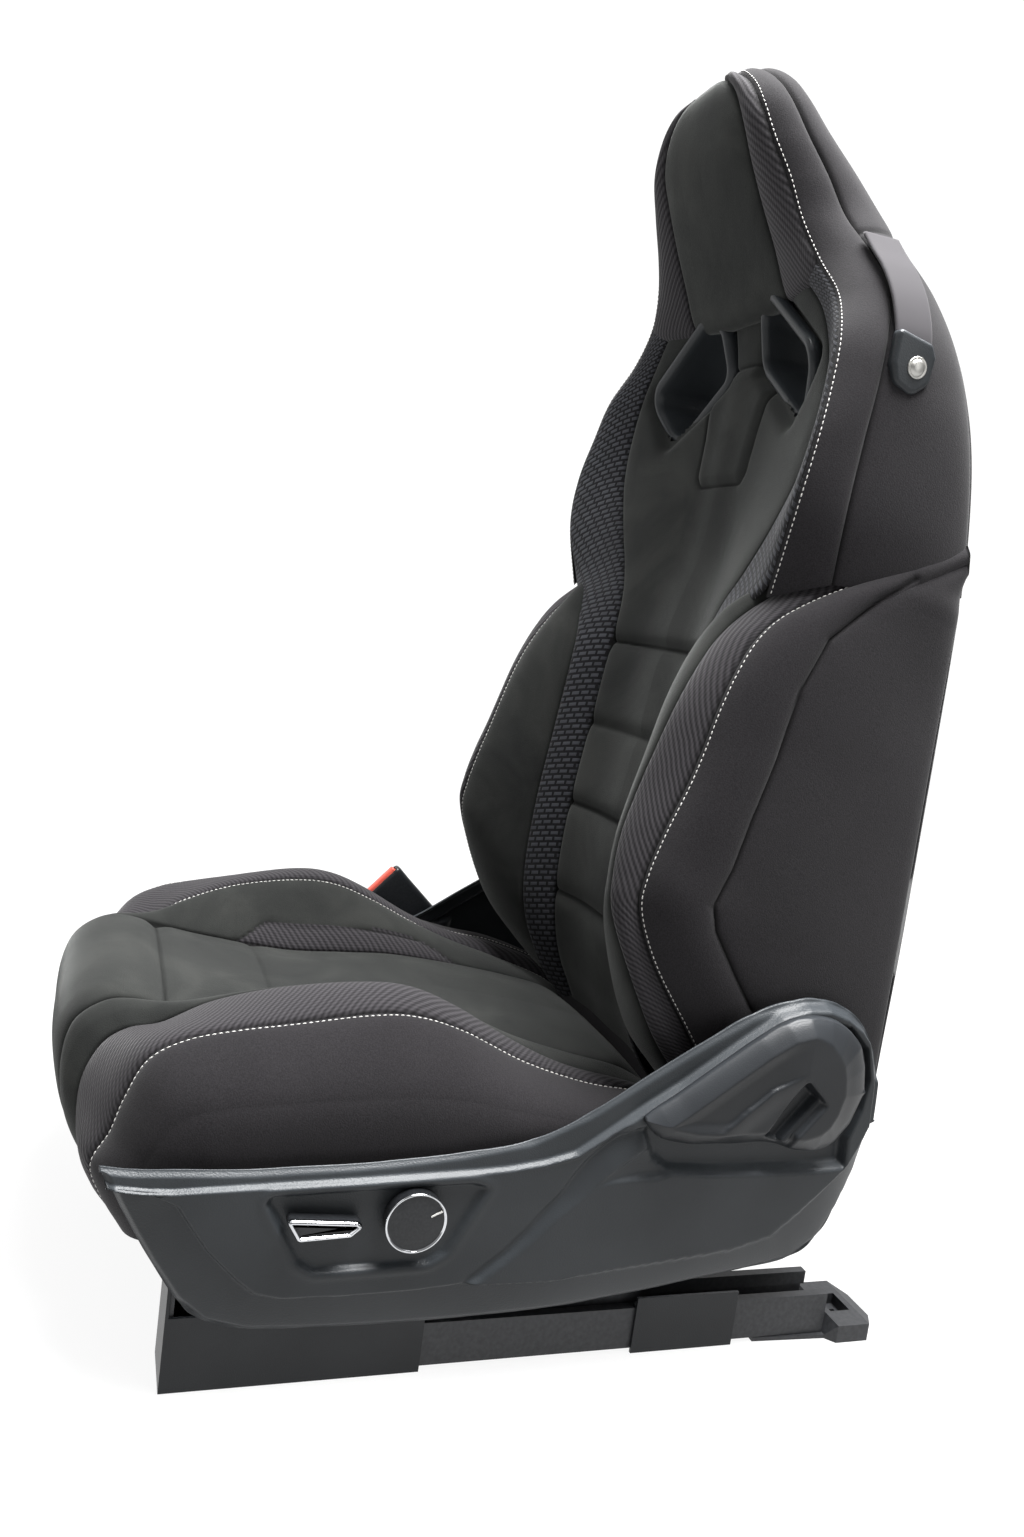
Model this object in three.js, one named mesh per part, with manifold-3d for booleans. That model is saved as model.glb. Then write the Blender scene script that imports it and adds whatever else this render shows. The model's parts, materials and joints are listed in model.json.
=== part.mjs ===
// A power-adjusted bucket sports seat for a car, for the left-hand place.
// Millimetres. +Z is up, the sitter faces -Y, and +X is the sitter's left, where the controls are.
// The origin is on the floor, in the middle of the whole seat's length and width.
import * as THREE from "three";
import { mergeVertices } from "three/addons/utils/BufferGeometryUtils.js";
import Module from "manifold-3d";

const wasm = await Module();
wasm.setup();

// ---------- Driving dimensions ----------
const gap = 0.5; // between pieces that rest on or beside each other
const runningGap = 3; // between pieces that move past each other

const frameHalfWidth = 248; // middle of the seat to the outer face of a cushion side frame
const frameThickness = 4;
const sideFoam = 14; // foam and cover outside the side frame

const pivotY = 210; // recliner axis
const pivotZ = 254;
const backLength = 836; // recliner axis to the top of the head
const backRearY = 300; // where the rear panel starts
const panelThickness = 6;

const cushionFrontY = -357;
const cushionRearY = 150;
const panTopZ = 156; // top of the seat pan
const panThickness = 3;
const insertHalfWidth = 118; // half of the flat middle of the cushion and back
const slotInset = 160; // half of the back's middle up at the shoulders

const railHalfSpacing = frameHalfWidth - 23;
const railFrontY = -262;
const railRearY = 300;
const railHalfWidth = 22;
const railTopZ = 40;
const railWall = 3;
const railFloorGap = 4;
const carriageFrontY = -222;
const carriageRearY = 120;

const linkLength = 90;
const linkAngle = 12; // degrees above level, with the seat at its lowest
const linkThickness = 5;
const linkPivotZ = 82;
const frontLinkY = -200;
const rearLinkY = 95;
const tubeRadius = 11;
const studRadius = 6;

const rodRadius = 5;
const discRadius = 38;
const backTubeRadius = 13;
const backTubeX = frameHalfWidth - 43;
const backTubeY = 262;

const shieldWall = 3;
const shieldDepth = 18;
const shieldInnerGap = 6;
const leverThickness = 20;
const leverHubRadius = 50;
const dialRadius = 24;
const stemRadius = 4;
const stemHoleRadius = 9;

// ---------- Sizes worked out from them ----------
const bodyHalfWidth = frameHalfWidth + sideFoam;
const foamFloorZ = panTopZ + 2;
const shieldInnerX = bodyHalfWidth + shieldInnerGap;
const shieldOuterX = shieldInnerX + shieldDepth;
const linkReachY = linkLength * Math.cos(THREE.MathUtils.degToRad(linkAngle));
const linkRiseZ = linkLength * Math.sin(THREE.MathUtils.degToRad(linkAngle));
const tubeZ = linkPivotZ + linkRiseZ;
const frameInnerX = frameHalfWidth - frameThickness;
const linkOuterX = frameInnerX - gap;
const discOuterX = frameInnerX - gap;
const discInnerX = backTubeX + backTubeRadius + 4 + gap;

const backZ = (share) => pivotZ + share * backLength;
const bodyX = (share) => share * bodyHalfWidth;

// ---------- Ways of making a solid ----------
function solidOf(geometry) {
  const plain = geometry.index ? geometry.toNonIndexed() : geometry.clone();
  const positions = new THREE.BufferGeometry();
  positions.setAttribute("position", plain.getAttribute("position"));
  const merged = mergeVertices(positions, 1e-3);
  const mesh = new wasm.Mesh({
    numProp: 3,
    vertProperties: merged.attributes.position.array,
    triVerts: new Uint32Array(merged.index.array),
  });
  return new wasm.Manifold(mesh);
}

function geometryOf(solid) {
  const mesh = solid.getMesh();
  const geometry = new THREE.BufferGeometry();
  geometry.setAttribute("position", new THREE.BufferAttribute(mesh.vertProperties, 3));
  geometry.setIndex(new THREE.BufferAttribute(mesh.triVerts, 1));
  return geometry;
}

const join = (...parts) => geometryOf(parts.map(solidOf).reduce((a, b) => a.add(b)));
const cut = (body, ...tools) => geometryOf(tools.map(solidOf).reduce((a, b) => a.subtract(b), solidOf(body)));

// A box between two corners.
function block([x0, x1], [y0, y1], [z0, z1]) {
  const box = new THREE.BoxGeometry(x1 - x0, y1 - y0, z1 - z0);
  return box.translate((x0 + x1) / 2, (y0 + y1) / 2, (z0 + z1) / 2);
}

// A round bar along X.
function barX(radius, [x0, x1], y, z, sides = 20) {
  const bar = new THREE.CylinderGeometry(radius, radius, x1 - x0, sides);
  return bar.rotateZ(-Math.PI / 2).translate((x0 + x1) / 2, y, z);
}

// A flat plate across X, from an outline of [y, z] points.
function plateX(outline, [x0, x1], holes = []) {
  const shape = new THREE.Shape(outline.map(([y, z]) => new THREE.Vector2(y, z)));
  holes.forEach((hole) => shape.holes.push(new THREE.Path(hole.map(([y, z]) => new THREE.Vector2(y, z)))));
  const plate = new THREE.ExtrudeGeometry(shape, { depth: x1 - x0, bevelEnabled: false });
  // The shape's own x, y and depth become Y, Z and X.
  const turn = new THREE.Matrix4().set(0, 0, 1, x0, 1, 0, 0, 0, 0, 1, 0, 0, 0, 0, 0, 1);
  return plate.applyMatrix4(turn);
}

// A bar along Y, from an outline of [x, z] points.
function barY(outline, [y0, y1]) {
  const shape = new THREE.Shape(outline.map(([x, z]) => new THREE.Vector2(x, z)));
  const bar = new THREE.ExtrudeGeometry(shape, { depth: y1 - y0, bevelEnabled: false });
  return bar.rotateX(Math.PI / 2).translate(0, y1, 0);
}

// A round bar bent along a path.
function bentBar(radius, path, steps, sides = 10) {
  const circle = new THREE.Shape().absarc(0, 0, radius, 0, 2 * Math.PI);
  return new THREE.ExtrudeGeometry(circle, {
    steps,
    curveSegments: sides,
    bevelEnabled: false,
    extrudePath: path,
  });
}

// A closed skin through a row of sections, each {at, points}, with the same number of points in each.
function loft(sections, place) {
  const count = sections[0].points.length;
  const area = THREE.ShapeUtils.area(sections[0].points.map(([u, v]) => new THREE.Vector2(u, v)));
  const positions = [];
  sections.forEach(({ at, points }) => points.forEach(([u, v]) => positions.push(...place(u, v, at))));
  const index = [];
  for (let s = 0; s + 1 < sections.length; s++)
    for (let i = 0; i < count; i++) {
      const a = s * count + i;
      const b = s * count + ((i + 1) % count);
      index.push(a, b, b + count, a, b + count, a + count);
    }
  const cap = (s, flip) => {
    const flat = sections[s].points.map(([u, v]) => new THREE.Vector2(u, v));
    THREE.ShapeUtils.triangulateShape(flat, []).forEach(([a, b, c]) => {
      const face = flip ? [c, b, a] : [a, b, c];
      index.push(...face.map((i) => s * count + i));
    });
  };
  // triangulateShape keeps the outline's own sense, so the caps follow the walls.
  cap(0, true);
  cap(sections.length - 1, false);
  const geometry = new THREE.BufferGeometry();
  geometry.setAttribute("position", new THREE.Float32BufferAttribute(positions, 3));
  geometry.setIndex(index);
  const handed = new THREE.Matrix3().set(...place(1, 0, 0), ...place(0, 1, 0), ...place(0, 0, 1)).determinant();
  if (area * handed < 0) geometry.index.array.reverse();
  return geometry;
}
const loftZ = (sections) => loft(sections, (x, y, z) => [x, y, z]);
const loftY = (sections) => loft(sections, (x, z, y) => [x, y, z]);

const circleOf = (radius, y, z, sides = 20) =>
  Array.from({ length: sides }, (_, i) => {
    const turn = (2 * Math.PI * i) / sides;
    return [y + radius * Math.cos(turn), z + radius * Math.sin(turn)];
  });

// ---------- Finishes ----------
const finish = (color, roughness, metalness = 0) => new THREE.MeshStandardMaterial({ color, roughness, metalness });
const steel = finish(0x24262a, 0.5, 0.7);
const zinc = finish(0x8e9094, 0.4, 0.9);
const plastic = finish(0x1c1f22, 0.5);
const chrome = finish(0xd8dce0, 0.1, 1);
const suede = finish(0x3a3c3b, 0.95);
const cloth = finish(0x262428, 0.9);
const red = finish(0xd8503c, 0.4);

const seat = new THREE.Group();
function piece(name, geometry, material, parent = seat) {
  const mesh = new THREE.Mesh(geometry, material);
  mesh.name = name;
  parent.add(mesh);
  return mesh;
}
// A pair of like pieces: the left one as made, the right one mirrored.
function pair(name, geometry, material) {
  piece(`${name}_left`, geometry, material);
  piece(`${name}_right`, geometry, material).scale.x = -1;
}

// ---------- Track: lower rails, feet, covers and lead screws, fixed to the floor ----------
const railOutline = (() => {
  const outer = railHalfWidth;
  const inner = railHalfWidth - railWall;
  const lip = 14;
  const floor = railFloorGap;
  return [
    [-outer, floor], [outer, floor], [outer, railTopZ], [lip, railTopZ], [lip, railTopZ - 12],
    [lip + railWall, railTopZ - 12], [lip + railWall, railTopZ - railWall], [inner, railTopZ - railWall],
    [inner, floor + railWall], [-inner, floor + railWall], [-inner, railTopZ - railWall],
    [-lip - railWall, railTopZ - railWall], [-lip - railWall, railTopZ - 12], [-lip, railTopZ - 12],
    [-lip, railTopZ], [-outer, railTopZ],
  ];
})();
const lowerChannel = barY(railOutline, [railFrontY - 1, railRearY]).translate(railHalfSpacing, 0, 0);

const footWall = 3;
const footTopZ = 83;
const footReach = 40;
const footHoleRadius = 5.5;
const frontFoot = cut(
  join(
    block(
      [railHalfSpacing - railHalfWidth, railHalfSpacing + railHalfWidth],
      [railFrontY - footWall, railFrontY],
      [0, footTopZ],
    ),
    block(
      [railHalfSpacing - railHalfWidth, railHalfSpacing + railHalfWidth],
      [railFrontY - footWall, railFrontY + footReach],
      [0, railFloorGap - gap],
    ),
  ),
  new THREE.CylinderGeometry(footHoleRadius, footHoleRadius, 20, 16)
    .rotateX(Math.PI / 2)
    .translate(railHalfSpacing, railFrontY + footReach - 15, 0),
);
pair("lower_rail", join(lowerChannel, frontFoot), steel);

// The rear foot is a plate behind the rail that dips to the floor, with a square window and a slotted bolt hole.
const rearFootEndY = 352;
const rearFootSections = [
  [railRearY - 70, 0, railFloorGap - gap, 22],
  [railRearY + gap, 0, railFloorGap - gap, 26],
  [railRearY + 8, 0, 16, 34],
  [railRearY + 40, 0, 16, 34],
  [rearFootEndY, 0, 12, 16],
].map(([at, low, high, half]) => ({
  at,
  points: [
    [railHalfSpacing - half, low],
    [railHalfSpacing + half, low],
    [railHalfSpacing + half, high],
    [railHalfSpacing - half, high],
  ],
}));
const rearFoot = cut(
  loftY(rearFootSections),
  block([railHalfSpacing - 14, railHalfSpacing + 12], [railRearY + 14, railRearY + 34], [6, 30]),
  block([railHalfSpacing - 5.5, railHalfSpacing + 5.5], [railRearY + 18, railRearY + 30], [-5, 30]),
);
pair("rear_foot", rearFoot, steel);

const coverWall = 2.5;
const coverOuterX = railHalfSpacing + railHalfWidth + gap + coverWall;
const coverInnerX = railHalfSpacing - railHalfWidth - gap - coverWall;
// A cover is a U of two side walls over the rail, closed at one end by a cross wall that clears the carriage.
function railCover([y0, y1], topZ, endTopZ, endAtFront) {
  const walls = [
    block([coverOuterX - coverWall, coverOuterX], [y0, y1], [railFloorGap - 3, topZ]),
    block([coverInnerX, coverInnerX + coverWall], [y0, y1], [railFloorGap - 3, topZ]),
  ];
  const bridge = endAtFront
    ? block([coverInnerX, coverOuterX], [y0, y0 + coverWall], [railFloorGap - 3, endTopZ])
    : block([coverInnerX, coverOuterX], [y1 - coverWall, y1], [railFloorGap - 3, endTopZ]);
  return join(...walls, bridge);
}
const frontCoverY = [railFrontY - footWall - gap - coverWall, -71];
const rearCoverY = [112, 207];
const frontCover = railCover(frontCoverY, 60, footTopZ, true);
pair("rail_cover_front", frontCover, plastic);
const rearCover = join(
  block([coverOuterX - coverWall, coverOuterX], rearCoverY, [railFloorGap - 3, 50]),
  block([railHalfSpacing + 17, coverOuterX], rearCoverY, [railTopZ + gap, railTopZ + gap + coverWall]),
);
pair("rail_cover_rear", rearCover, plastic);

const screwRadius = 4;
const screwZ = 16;
const leadScrew = new THREE.CylinderGeometry(screwRadius, screwRadius, railRearY - railFrontY - 10, 12);
pair("lead_screw", leadScrew.translate(railHalfSpacing, (railFrontY + railRearY) / 2, screwZ), zinc);

// ---------- Carriage: upper rails, nut gearboxes, track motor and drive shaft ----------
const webHalf = 11;
const carriageTopZ = 62;
const earTopZ = linkPivotZ + 14;
const studOuterX = linkOuterX;
const earOuterX = linkOuterX - linkThickness - gap;
const earInnerX = earOuterX - 5;
const pivots = [frontLinkY, rearLinkY];
const upperRail = join(
  barY(
    [
      [-webHalf, 24], [webHalf, 24], [webHalf, carriageTopZ], [-webHalf, carriageTopZ],
    ].map(([x, z]) => [x + railHalfSpacing, z]),
    [carriageFrontY, carriageRearY],
  ),
  ...pivots.map((y) =>
    plateX(
      [[y - 22, carriageTopZ - 2], [y + 22, carriageTopZ - 2], [y + 12, earTopZ], [y - 12, earTopZ]],
      [earInnerX, earOuterX],
    ),
  ),
  ...pivots.map((y) => barX(studRadius, [earInnerX, studOuterX], y, linkPivotZ, 16)),
);
pair("upper_rail", upperRail, steel);

const gearboxY = [-30, 20];
const gearbox = join(
  block([railHalfSpacing - webHalf - gap - 26, railHalfSpacing - webHalf - gap], gearboxY, [44, 74]),
  barX(7, [railHalfSpacing - webHalf - 46, railHalfSpacing - webHalf - 26], -5, 59, 12),
);
pair("track_gearbox", gearbox, zinc);
const motorHalf = 62;
const shaftRadius = 4;
const motorAxis = { y: -5, z: 59 };
const motor = join(
  barX(21, [-motorHalf, motorHalf], motorAxis.y, motorAxis.z, 20),
  block([-motorHalf - 14, -motorHalf + 2], [motorAxis.y - 24, motorAxis.y + 24], [motorAxis.z - 18, motorAxis.z + 24]),
);
const shaftEndX = railHalfSpacing - webHalf - 46 - gap;
const shaft = (radius) => barX(radius, [-shaftEndX, shaftEndX], motorAxis.y, motorAxis.z, 12);
piece("track_motor", cut(motor, shaft(shaftRadius + 2 * gap)), zinc);
piece("drive_shaft", shaft(shaftRadius), plastic);

// ---------- Lift: two pairs of equal links, each pair joined by a torque tube ----------
function linkPlate(y) {
  const topY = y + linkReachY;
  const along = THREE.MathUtils.degToRad(linkAngle);
  const half = 17;
  const end = (cy, cz, from) =>
    Array.from({ length: 9 }, (_, i) => {
      const turn = along + from + (Math.PI * i) / 8;
      return [cy + half * Math.cos(turn), cz + half * Math.sin(turn)];
    });
  const outline = [...end(topY, tubeZ, -Math.PI / 2), ...end(y, linkPivotZ, Math.PI / 2)];
  return plateX(outline, [linkOuterX - linkThickness, linkOuterX], [
    circleOf(studRadius + gap, y, linkPivotZ, 16),
    circleOf(tubeRadius + gap, topY, tubeZ, 20),
  ]);
}
pair("front_link", linkPlate(frontLinkY), steel);
pair("rear_link", linkPlate(rearLinkY), steel);
const tubeEndX = frameHalfWidth + 3;
const frontTubeY = frontLinkY + linkReachY;
const rearTubeY = rearLinkY + linkReachY;
piece("front_torque_tube", barX(tubeRadius, [-tubeEndX, tubeEndX], frontTubeY, tubeZ), steel);
piece("rear_torque_tube", barX(tubeRadius, [-tubeEndX, tubeEndX], rearTubeY, tubeZ), steel);

// ---------- Cushion frame: side frames with recliner ears, pan, lift motor ----------
const earRadius = 44;
const frameOutline = [
  [-272, 112], [frontTubeY - 40, 84], [rearTubeY + 35, 84], [rearTubeY + 42, 110], [pivotY + earRadius, 190],
  ...Array.from({ length: 9 }, (_, i) => {
    const turn = (Math.PI * i) / 8;
    return [pivotY + earRadius * Math.cos(turn), pivotZ + earRadius * Math.sin(turn)];
  }),
  [pivotY - earRadius + 2, 210], [pivotY - 62, panTopZ - 6], [-282, panTopZ - 6],
];
const sideFrame = plateX(frameOutline, [frameInnerX, frameHalfWidth], [
  circleOf(tubeRadius + gap, frontTubeY, tubeZ),
  circleOf(tubeRadius + gap, rearTubeY, tubeZ),
  circleOf(rodRadius + 2, pivotY, pivotZ, 16),
]);
pair("side_frame", sideFrame, steel);

const panFrontY = -280;
const panOutline = [
  [panFrontY, panTopZ - 40], [panFrontY + panThickness, panTopZ - 40],
  [panFrontY + 10 + panThickness, panTopZ - panThickness], [40, panTopZ - panThickness],
  [cushionRearY - 50, panTopZ - 26 - panThickness], [cushionRearY - 10, panTopZ - 26 - panThickness],
  [cushionRearY - 10, panTopZ - 26], [cushionRearY - 50, panTopZ - 26], [40, panTopZ],
  [panFrontY + 8, panTopZ],
];
const panHalfWidth = frameInnerX - gap;
piece("seat_pan", plateX(panOutline, [-panHalfWidth, panHalfWidth]), steel);

const liftMotorX = frameInnerX - gap;
const liftMotor = join(
  block([liftMotorX - 24, liftMotorX], [20, 70], [98, 138]),
  new THREE.CylinderGeometry(17, 17, 90, 18).translate(liftMotorX - 24 - 10, -15, 118),
);
piece("lift_motor", liftMotor, zinc);

// A recliner is a round ratchet disc between the ear and the back frame's bracket.
const recliner = cut(
  barX(discRadius, [discInnerX, discOuterX], pivotY, pivotZ, 28),
  barX(rodRadius + 2, [discInnerX - 5, discOuterX + 5], pivotY, pivotZ, 16),
);
pair("recliner", recliner, zinc);

// ---------- Cushion pads ----------
// Each row: Y, middle height, inner seam [share of width, z], outer seam [share of width, z], side height.
const cushionRows = [
  { y: cushionFrontY, mid: 214, inner: [0.46, 205], outer: [0.56, 190], side: 180, low: 150, wide: 0.62 },
  { y: -345, mid: 245, inner: [0.5, 232], outer: [0.64, 205], side: 188, low: 128, wide: 0.74 },
  { y: -318, mid: 257, inner: [0.53, 244], outer: [0.74, 218], side: 196, low: 122, wide: 0.86 },
  { y: -285, mid: 256, inner: [0.55, 258], outer: [0.78, 250], side: 205, low: foamFloorZ, wide: 0.95 },
  { y: -238, mid: 248, inner: [0.6, 272], outer: [0.79, 264], side: 210, low: foamFloorZ, wide: 0.98 },
  { y: -155, mid: 238, inner: [0.64, 287], outer: [0.79, 275], side: 212, low: foamFloorZ, wide: 1 },
  { y: -100, mid: 236, inner: [0.63, 287], outer: [0.79, 278], side: 212, low: foamFloorZ, wide: 1 },
  { y: -42, mid: 234, inner: [0.64, 265], outer: [0.79, 260], side: 208, low: foamFloorZ, wide: 1 },
  { y: 25, mid: 222, inner: [0.68, 228], outer: [0.79, 229], side: 200, low: foamFloorZ, wide: 1 },
  { y: 80, mid: 211, inner: [0.68, 211], outer: [0.79, 213], side: 192, low: foamFloorZ, wide: 1 },
  { y: 122, mid: 200, inner: [0.66, 200], outer: [0.78, 204], side: 184, low: foamFloorZ, wide: 0.99 },
];
const cushionInsert = loftY(
  cushionRows.map(({ y, mid, low }) => ({
    at: y,
    points: [
      [-insertHalfWidth, low], [insertHalfWidth, low], [insertHalfWidth, mid - 3], [insertHalfWidth / 2, mid],
      [-insertHalfWidth / 2, mid], [-insertHalfWidth, mid - 3],
    ],
  })),
);
const noseClearance = block(
  [-bodyHalfWidth, bodyHalfWidth],
  [cushionFrontY + 32, cushionRearY + 50],
  [0, foamFloorZ],
);
piece("cushion_insert", cut(cushionInsert, noseClearance), suede);
const cushionBolster = cut(
  loftY(
    cushionRows.map(({ y, mid, inner, outer, side, low, wide }) => ({
      at: y,
      points: [
        [insertHalfWidth + gap, low], [bodyX(wide) - 6, low], [bodyX(wide), low + 12], [bodyX(wide), side],
        [bodyX(outer[0]) + (bodyX(wide) - bodyX(outer[0])) * 0.6, (side + outer[1]) / 2 + 14],
        [bodyX(outer[0]), outer[1]], [(bodyX(inner[0]) + bodyX(outer[0])) / 2, Math.max(inner[1], outer[1])],
        [Math.max(bodyX(inner[0]), insertHalfWidth + 1), inner[1]], [insertHalfWidth + gap, mid - 4],
      ],
    })),
  ),
  noseClearance,
);
pair("cushion_bolster", cushionBolster, cloth);

// ---------- Back frame: a bent tube with recliner brackets, and the lumbar mat ----------
const headZ = backZ(0.79); // where the head pad starts
const tubePath = new THREE.CatmullRomCurve3(
  [
    [backTubeX, backTubeY, pivotZ - 10],
    [backTubeX, backTubeY, pivotZ + 60],
    [backTubeX, backTubeY, backZ(0.33)],
    [backTubeX, backTubeY, backZ(0.63)],
    [bodyX(0.745), 256, backZ(0.7)],
    [bodyX(0.6), 244, backZ(0.775)],
    [bodyX(0.4), 226, headZ + 35],
    [0, 218, headZ + 48],
    [-bodyX(0.4), 226, headZ + 35],
    [-bodyX(0.6), 244, backZ(0.775)],
    [-bodyX(0.745), 256, backZ(0.7)],
    [-backTubeX, backTubeY, backZ(0.63)],
    [-backTubeX, backTubeY, backZ(0.33)],
    [-backTubeX, backTubeY, pivotZ + 60],
    [-backTubeX, backTubeY, pivotZ - 10],
  ].map((p) => new THREE.Vector3(...p)),
  false,
  "centripetal",
);
const tubeSteps = 30;
const bracketX = [backTubeX + backTubeRadius - 2, discInnerX - gap];
const bracketOutline = [
  ...Array.from({ length: 13 }, (_, i) => {
    const turn = Math.PI * (0.75 + (1.25 * i) / 12);
    return [pivotY + 34 * Math.cos(turn), pivotZ + 34 * Math.sin(turn)];
  }),
  [backTubeY + backTubeRadius, pivotZ + 10], [backTubeY + backTubeRadius, pivotZ + 95],
  [backTubeY - backTubeRadius, pivotZ + 95],
];
const bracket = plateX(bracketOutline, bracketX, [circleOf(rodRadius + 3, pivotY, pivotZ, 16)]);
const mirrored = (geometry) => geometryOf(solidOf(geometry).mirror([1, 0, 0]));
const lowerCross = barX(9, [-backTubeX, backTubeX], backTubeY, pivotZ + 34, 14);
piece("back_frame", join(bentBar(backTubeRadius, tubePath, tubeSteps), bracket, mirrored(bracket), lowerCross), steel);
const tunnel = bentBar(backTubeRadius + 2, tubePath, tubeSteps);

const matHalfWidth = backTubeX - backTubeRadius - 8;
const matY = 236;
const matRow = (z) => block([-matHalfWidth, matHalfWidth], [matY, matY + 4], [z - 3, z + 3]);
const matRows = Array.from({ length: 7 }, (_, i) => matRow(backZ(0.12 + 0.055 * i)));
const matSides = [-1, 1].map((side) =>
  block([side * (matHalfWidth - 20) - 3, side * (matHalfWidth - 20) + 3], [matY - 1, matY + 5], [backZ(0.115), backZ(0.458)]),
);
piece("lumbar_mat", join(...matRows, ...matSides), zinc);

// ---------- Back pads ----------
const foamBackY = 230;
const foamBackLowY = pivotY - rodRadius - 5;
const lowFoamTop = 0.07;
const seamShare = 0.4735; // height where the lower bolsters meet the shoulders
// The harness slot's corners, [x, z]: top inner, low inner, bottom, outer.
const slot = [
  [44, backZ(0.788)],
  [39, backZ(0.72)],
  [120, backZ(0.655)],
  [slotInset - 8, backZ(0.703)],
];
const stemHalfWidth = slot[1][0] - 2;

// Each row: height share, middle Y, half width and rear Y.
const insertRows = [
  [-0.06, 168, insertHalfWidth, foamBackLowY], [0, 152, insertHalfWidth, foamBackLowY],
  [lowFoamTop, 144, insertHalfWidth, foamBackLowY], [lowFoamTop + 0.015, 143, insertHalfWidth, foamBackY],
  [0.17, 144, insertHalfWidth, foamBackY], [0.28, 157, insertHalfWidth, foamBackY],
  [0.4, 169, insertHalfWidth, foamBackY], [seamShare, 187, insertHalfWidth, foamBackY],
].map(([share, y, half, rear]) => [backZ(share), y, half, rear]);
const upperInsertRows = [
  [backZ(seamShare) + 2, 188, slotInset - gap, foamBackY],
  [backZ(0.6), 203, slotInset - gap, foamBackY],
  [slot[2][1] - 8, 208, slotInset - gap, foamBackY],
  [slot[2][1] - 1, 210, slot[2][0], foamBackY],
  [slot[1][1] - 2, 214, stemHalfWidth, foamBackY],
  [headZ - 4, 216, stemHalfWidth, foamBackY],
];
const insertLoft = (rows) =>
  loftZ(
    rows.map(([z, y, half, rear]) => ({
      at: z,
      points: [[-half, y - 2], [-half / 2, y], [half / 2, y], [half, y - 2], [half, rear], [-half, rear]],
    })),
  );
piece("back_insert", insertLoft(insertRows), suede);
piece("shoulder_insert", insertLoft(upperInsertRows), suede);

// Each row: height share, insert edge Y, inner seam Y, outer seam Y, inner share, outer share of the width.
const bolsterRows = [
  [-0.031, 170, 140, 152, 0.78, 0.9], [0.001, 150, 117, 146, 0.78, 0.915], [0.045, 137, 88, 118, 0.79, 0.92],
  [0.091, 136, 64, 90, 0.79, 0.92], [0.141, 138, 50, 67, 0.785, 0.915], [0.211, 143, 55, 75, 0.77, 0.915],
  [0.293, 151, 75, 97, 0.763, 0.915], [0.373, 160, 101, 116, 0.755, 0.912], [0.433, 174, 138, 146, 0.74, 0.9],
  [seamShare, 184, 166, 176, 0.74, 0.88],
];
const wallX = frameHalfWidth + runningGap;
const bolster = cut(
  loftZ(
    bolsterRows.map(([share, edge, inner, outer, innerX, outerX]) => {
      const rear = share < lowFoamTop ? foamBackLowY : foamBackY;
      return {
        at: backZ(share),
        points: [
          [insertHalfWidth + gap, edge], [insertHalfWidth + 32, edge - 3], [bodyX(innerX), inner],
          [bodyX((innerX + outerX) / 2), (inner + outer) / 2 - 5], [bodyX(outerX), outer],
          [bodyX(0.985), outer + 30], [bodyHalfWidth, outer + 70], [bodyHalfWidth, backRearY - 20],
          [wallX + 3, backRearY - gap], [wallX, backRearY - gap], [wallX, rear], [insertHalfWidth + gap, rear],
        ],
      };
    }),
  ),
  barX(pivotY - 126, [backTubeX - backTubeRadius - 2, wallX], pivotY, pivotZ, 28),
  barX(rodRadius + 3, [wallX - 1, bodyHalfWidth + 1], pivotY, pivotZ, 16),
);
pair("back_bolster", bolster, cloth);

// Each row: z, inner wall X, insert edge Y, outer seam [x share, y], widest share, rear Y.
const shoulderRows = [
  [backZ(seamShare) + 2, slotInset, 186, [0.86, 160], 0.985, backRearY],
  [backZ(0.533), slotInset, 196, [0.915, 144], 0.98, backRearY],
  [backZ(0.6), slotInset, 200, [0.935, 148], 0.98, backRearY],
  [slot[2][1] - 1, slotInset, 205, [0.915, 157], 0.96, backRearY],
  [slot[3][1], slotInset - 4, 205, [0.85, 168], 0.92, backRearY],
  [backZ(0.745), (slot[3][0] + slot[0][0]) / 2 + 6, 190, [0.76, 177], 0.86, 296],
  [headZ - 3, slot[0][0] + 8, 184, [0.62, 177], 0.735, 284],
];
const shoulder = cut(
  loftZ(
    shoulderRows.map(([z, wall, edge, outer, wide, rear]) => ({
      at: z,
      points: [
        [wall, edge], [(wall + bodyX(outer[0])) / 2, (edge + outer[1]) / 2 - 8], [bodyX(outer[0]) - 12, outer[1]],
        [bodyX(outer[0]), outer[1] + 3], [bodyX(wide) - 2, outer[1] + 35], [bodyX(wide), outer[1] + 70],
        [bodyX(wide) - 6, rear - 18], [bodyX(wide) - 26, rear - gap], [wall, rear - gap],
      ],
    })),
  ),
  tunnel,
);
pair("shoulder_bolster", shoulder, cloth);

// The bezel lines the slot right through the back.
const bezelWall = 4;
const slotMiddle = [
  slot.reduce((sum, corner) => sum + corner[0], 0) / slot.length,
  slot.reduce((sum, corner) => sum + corner[1], 0) / slot.length,
];
const shrunk = (by) =>
  slot.map(([x, z]) => {
    const dx = x - slotMiddle[0];
    const dz = z - slotMiddle[1];
    const reach = Math.hypot(dx, dz);
    return [x - (by * dx) / reach, z - (by * dz) / reach];
  });
const bezel = cut(barY(shrunk(2), [196, 292]), barY(shrunk(2 + 2 * bezelWall), [190, 300]));
pair("slot_bezel", bezel, plastic);

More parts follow.
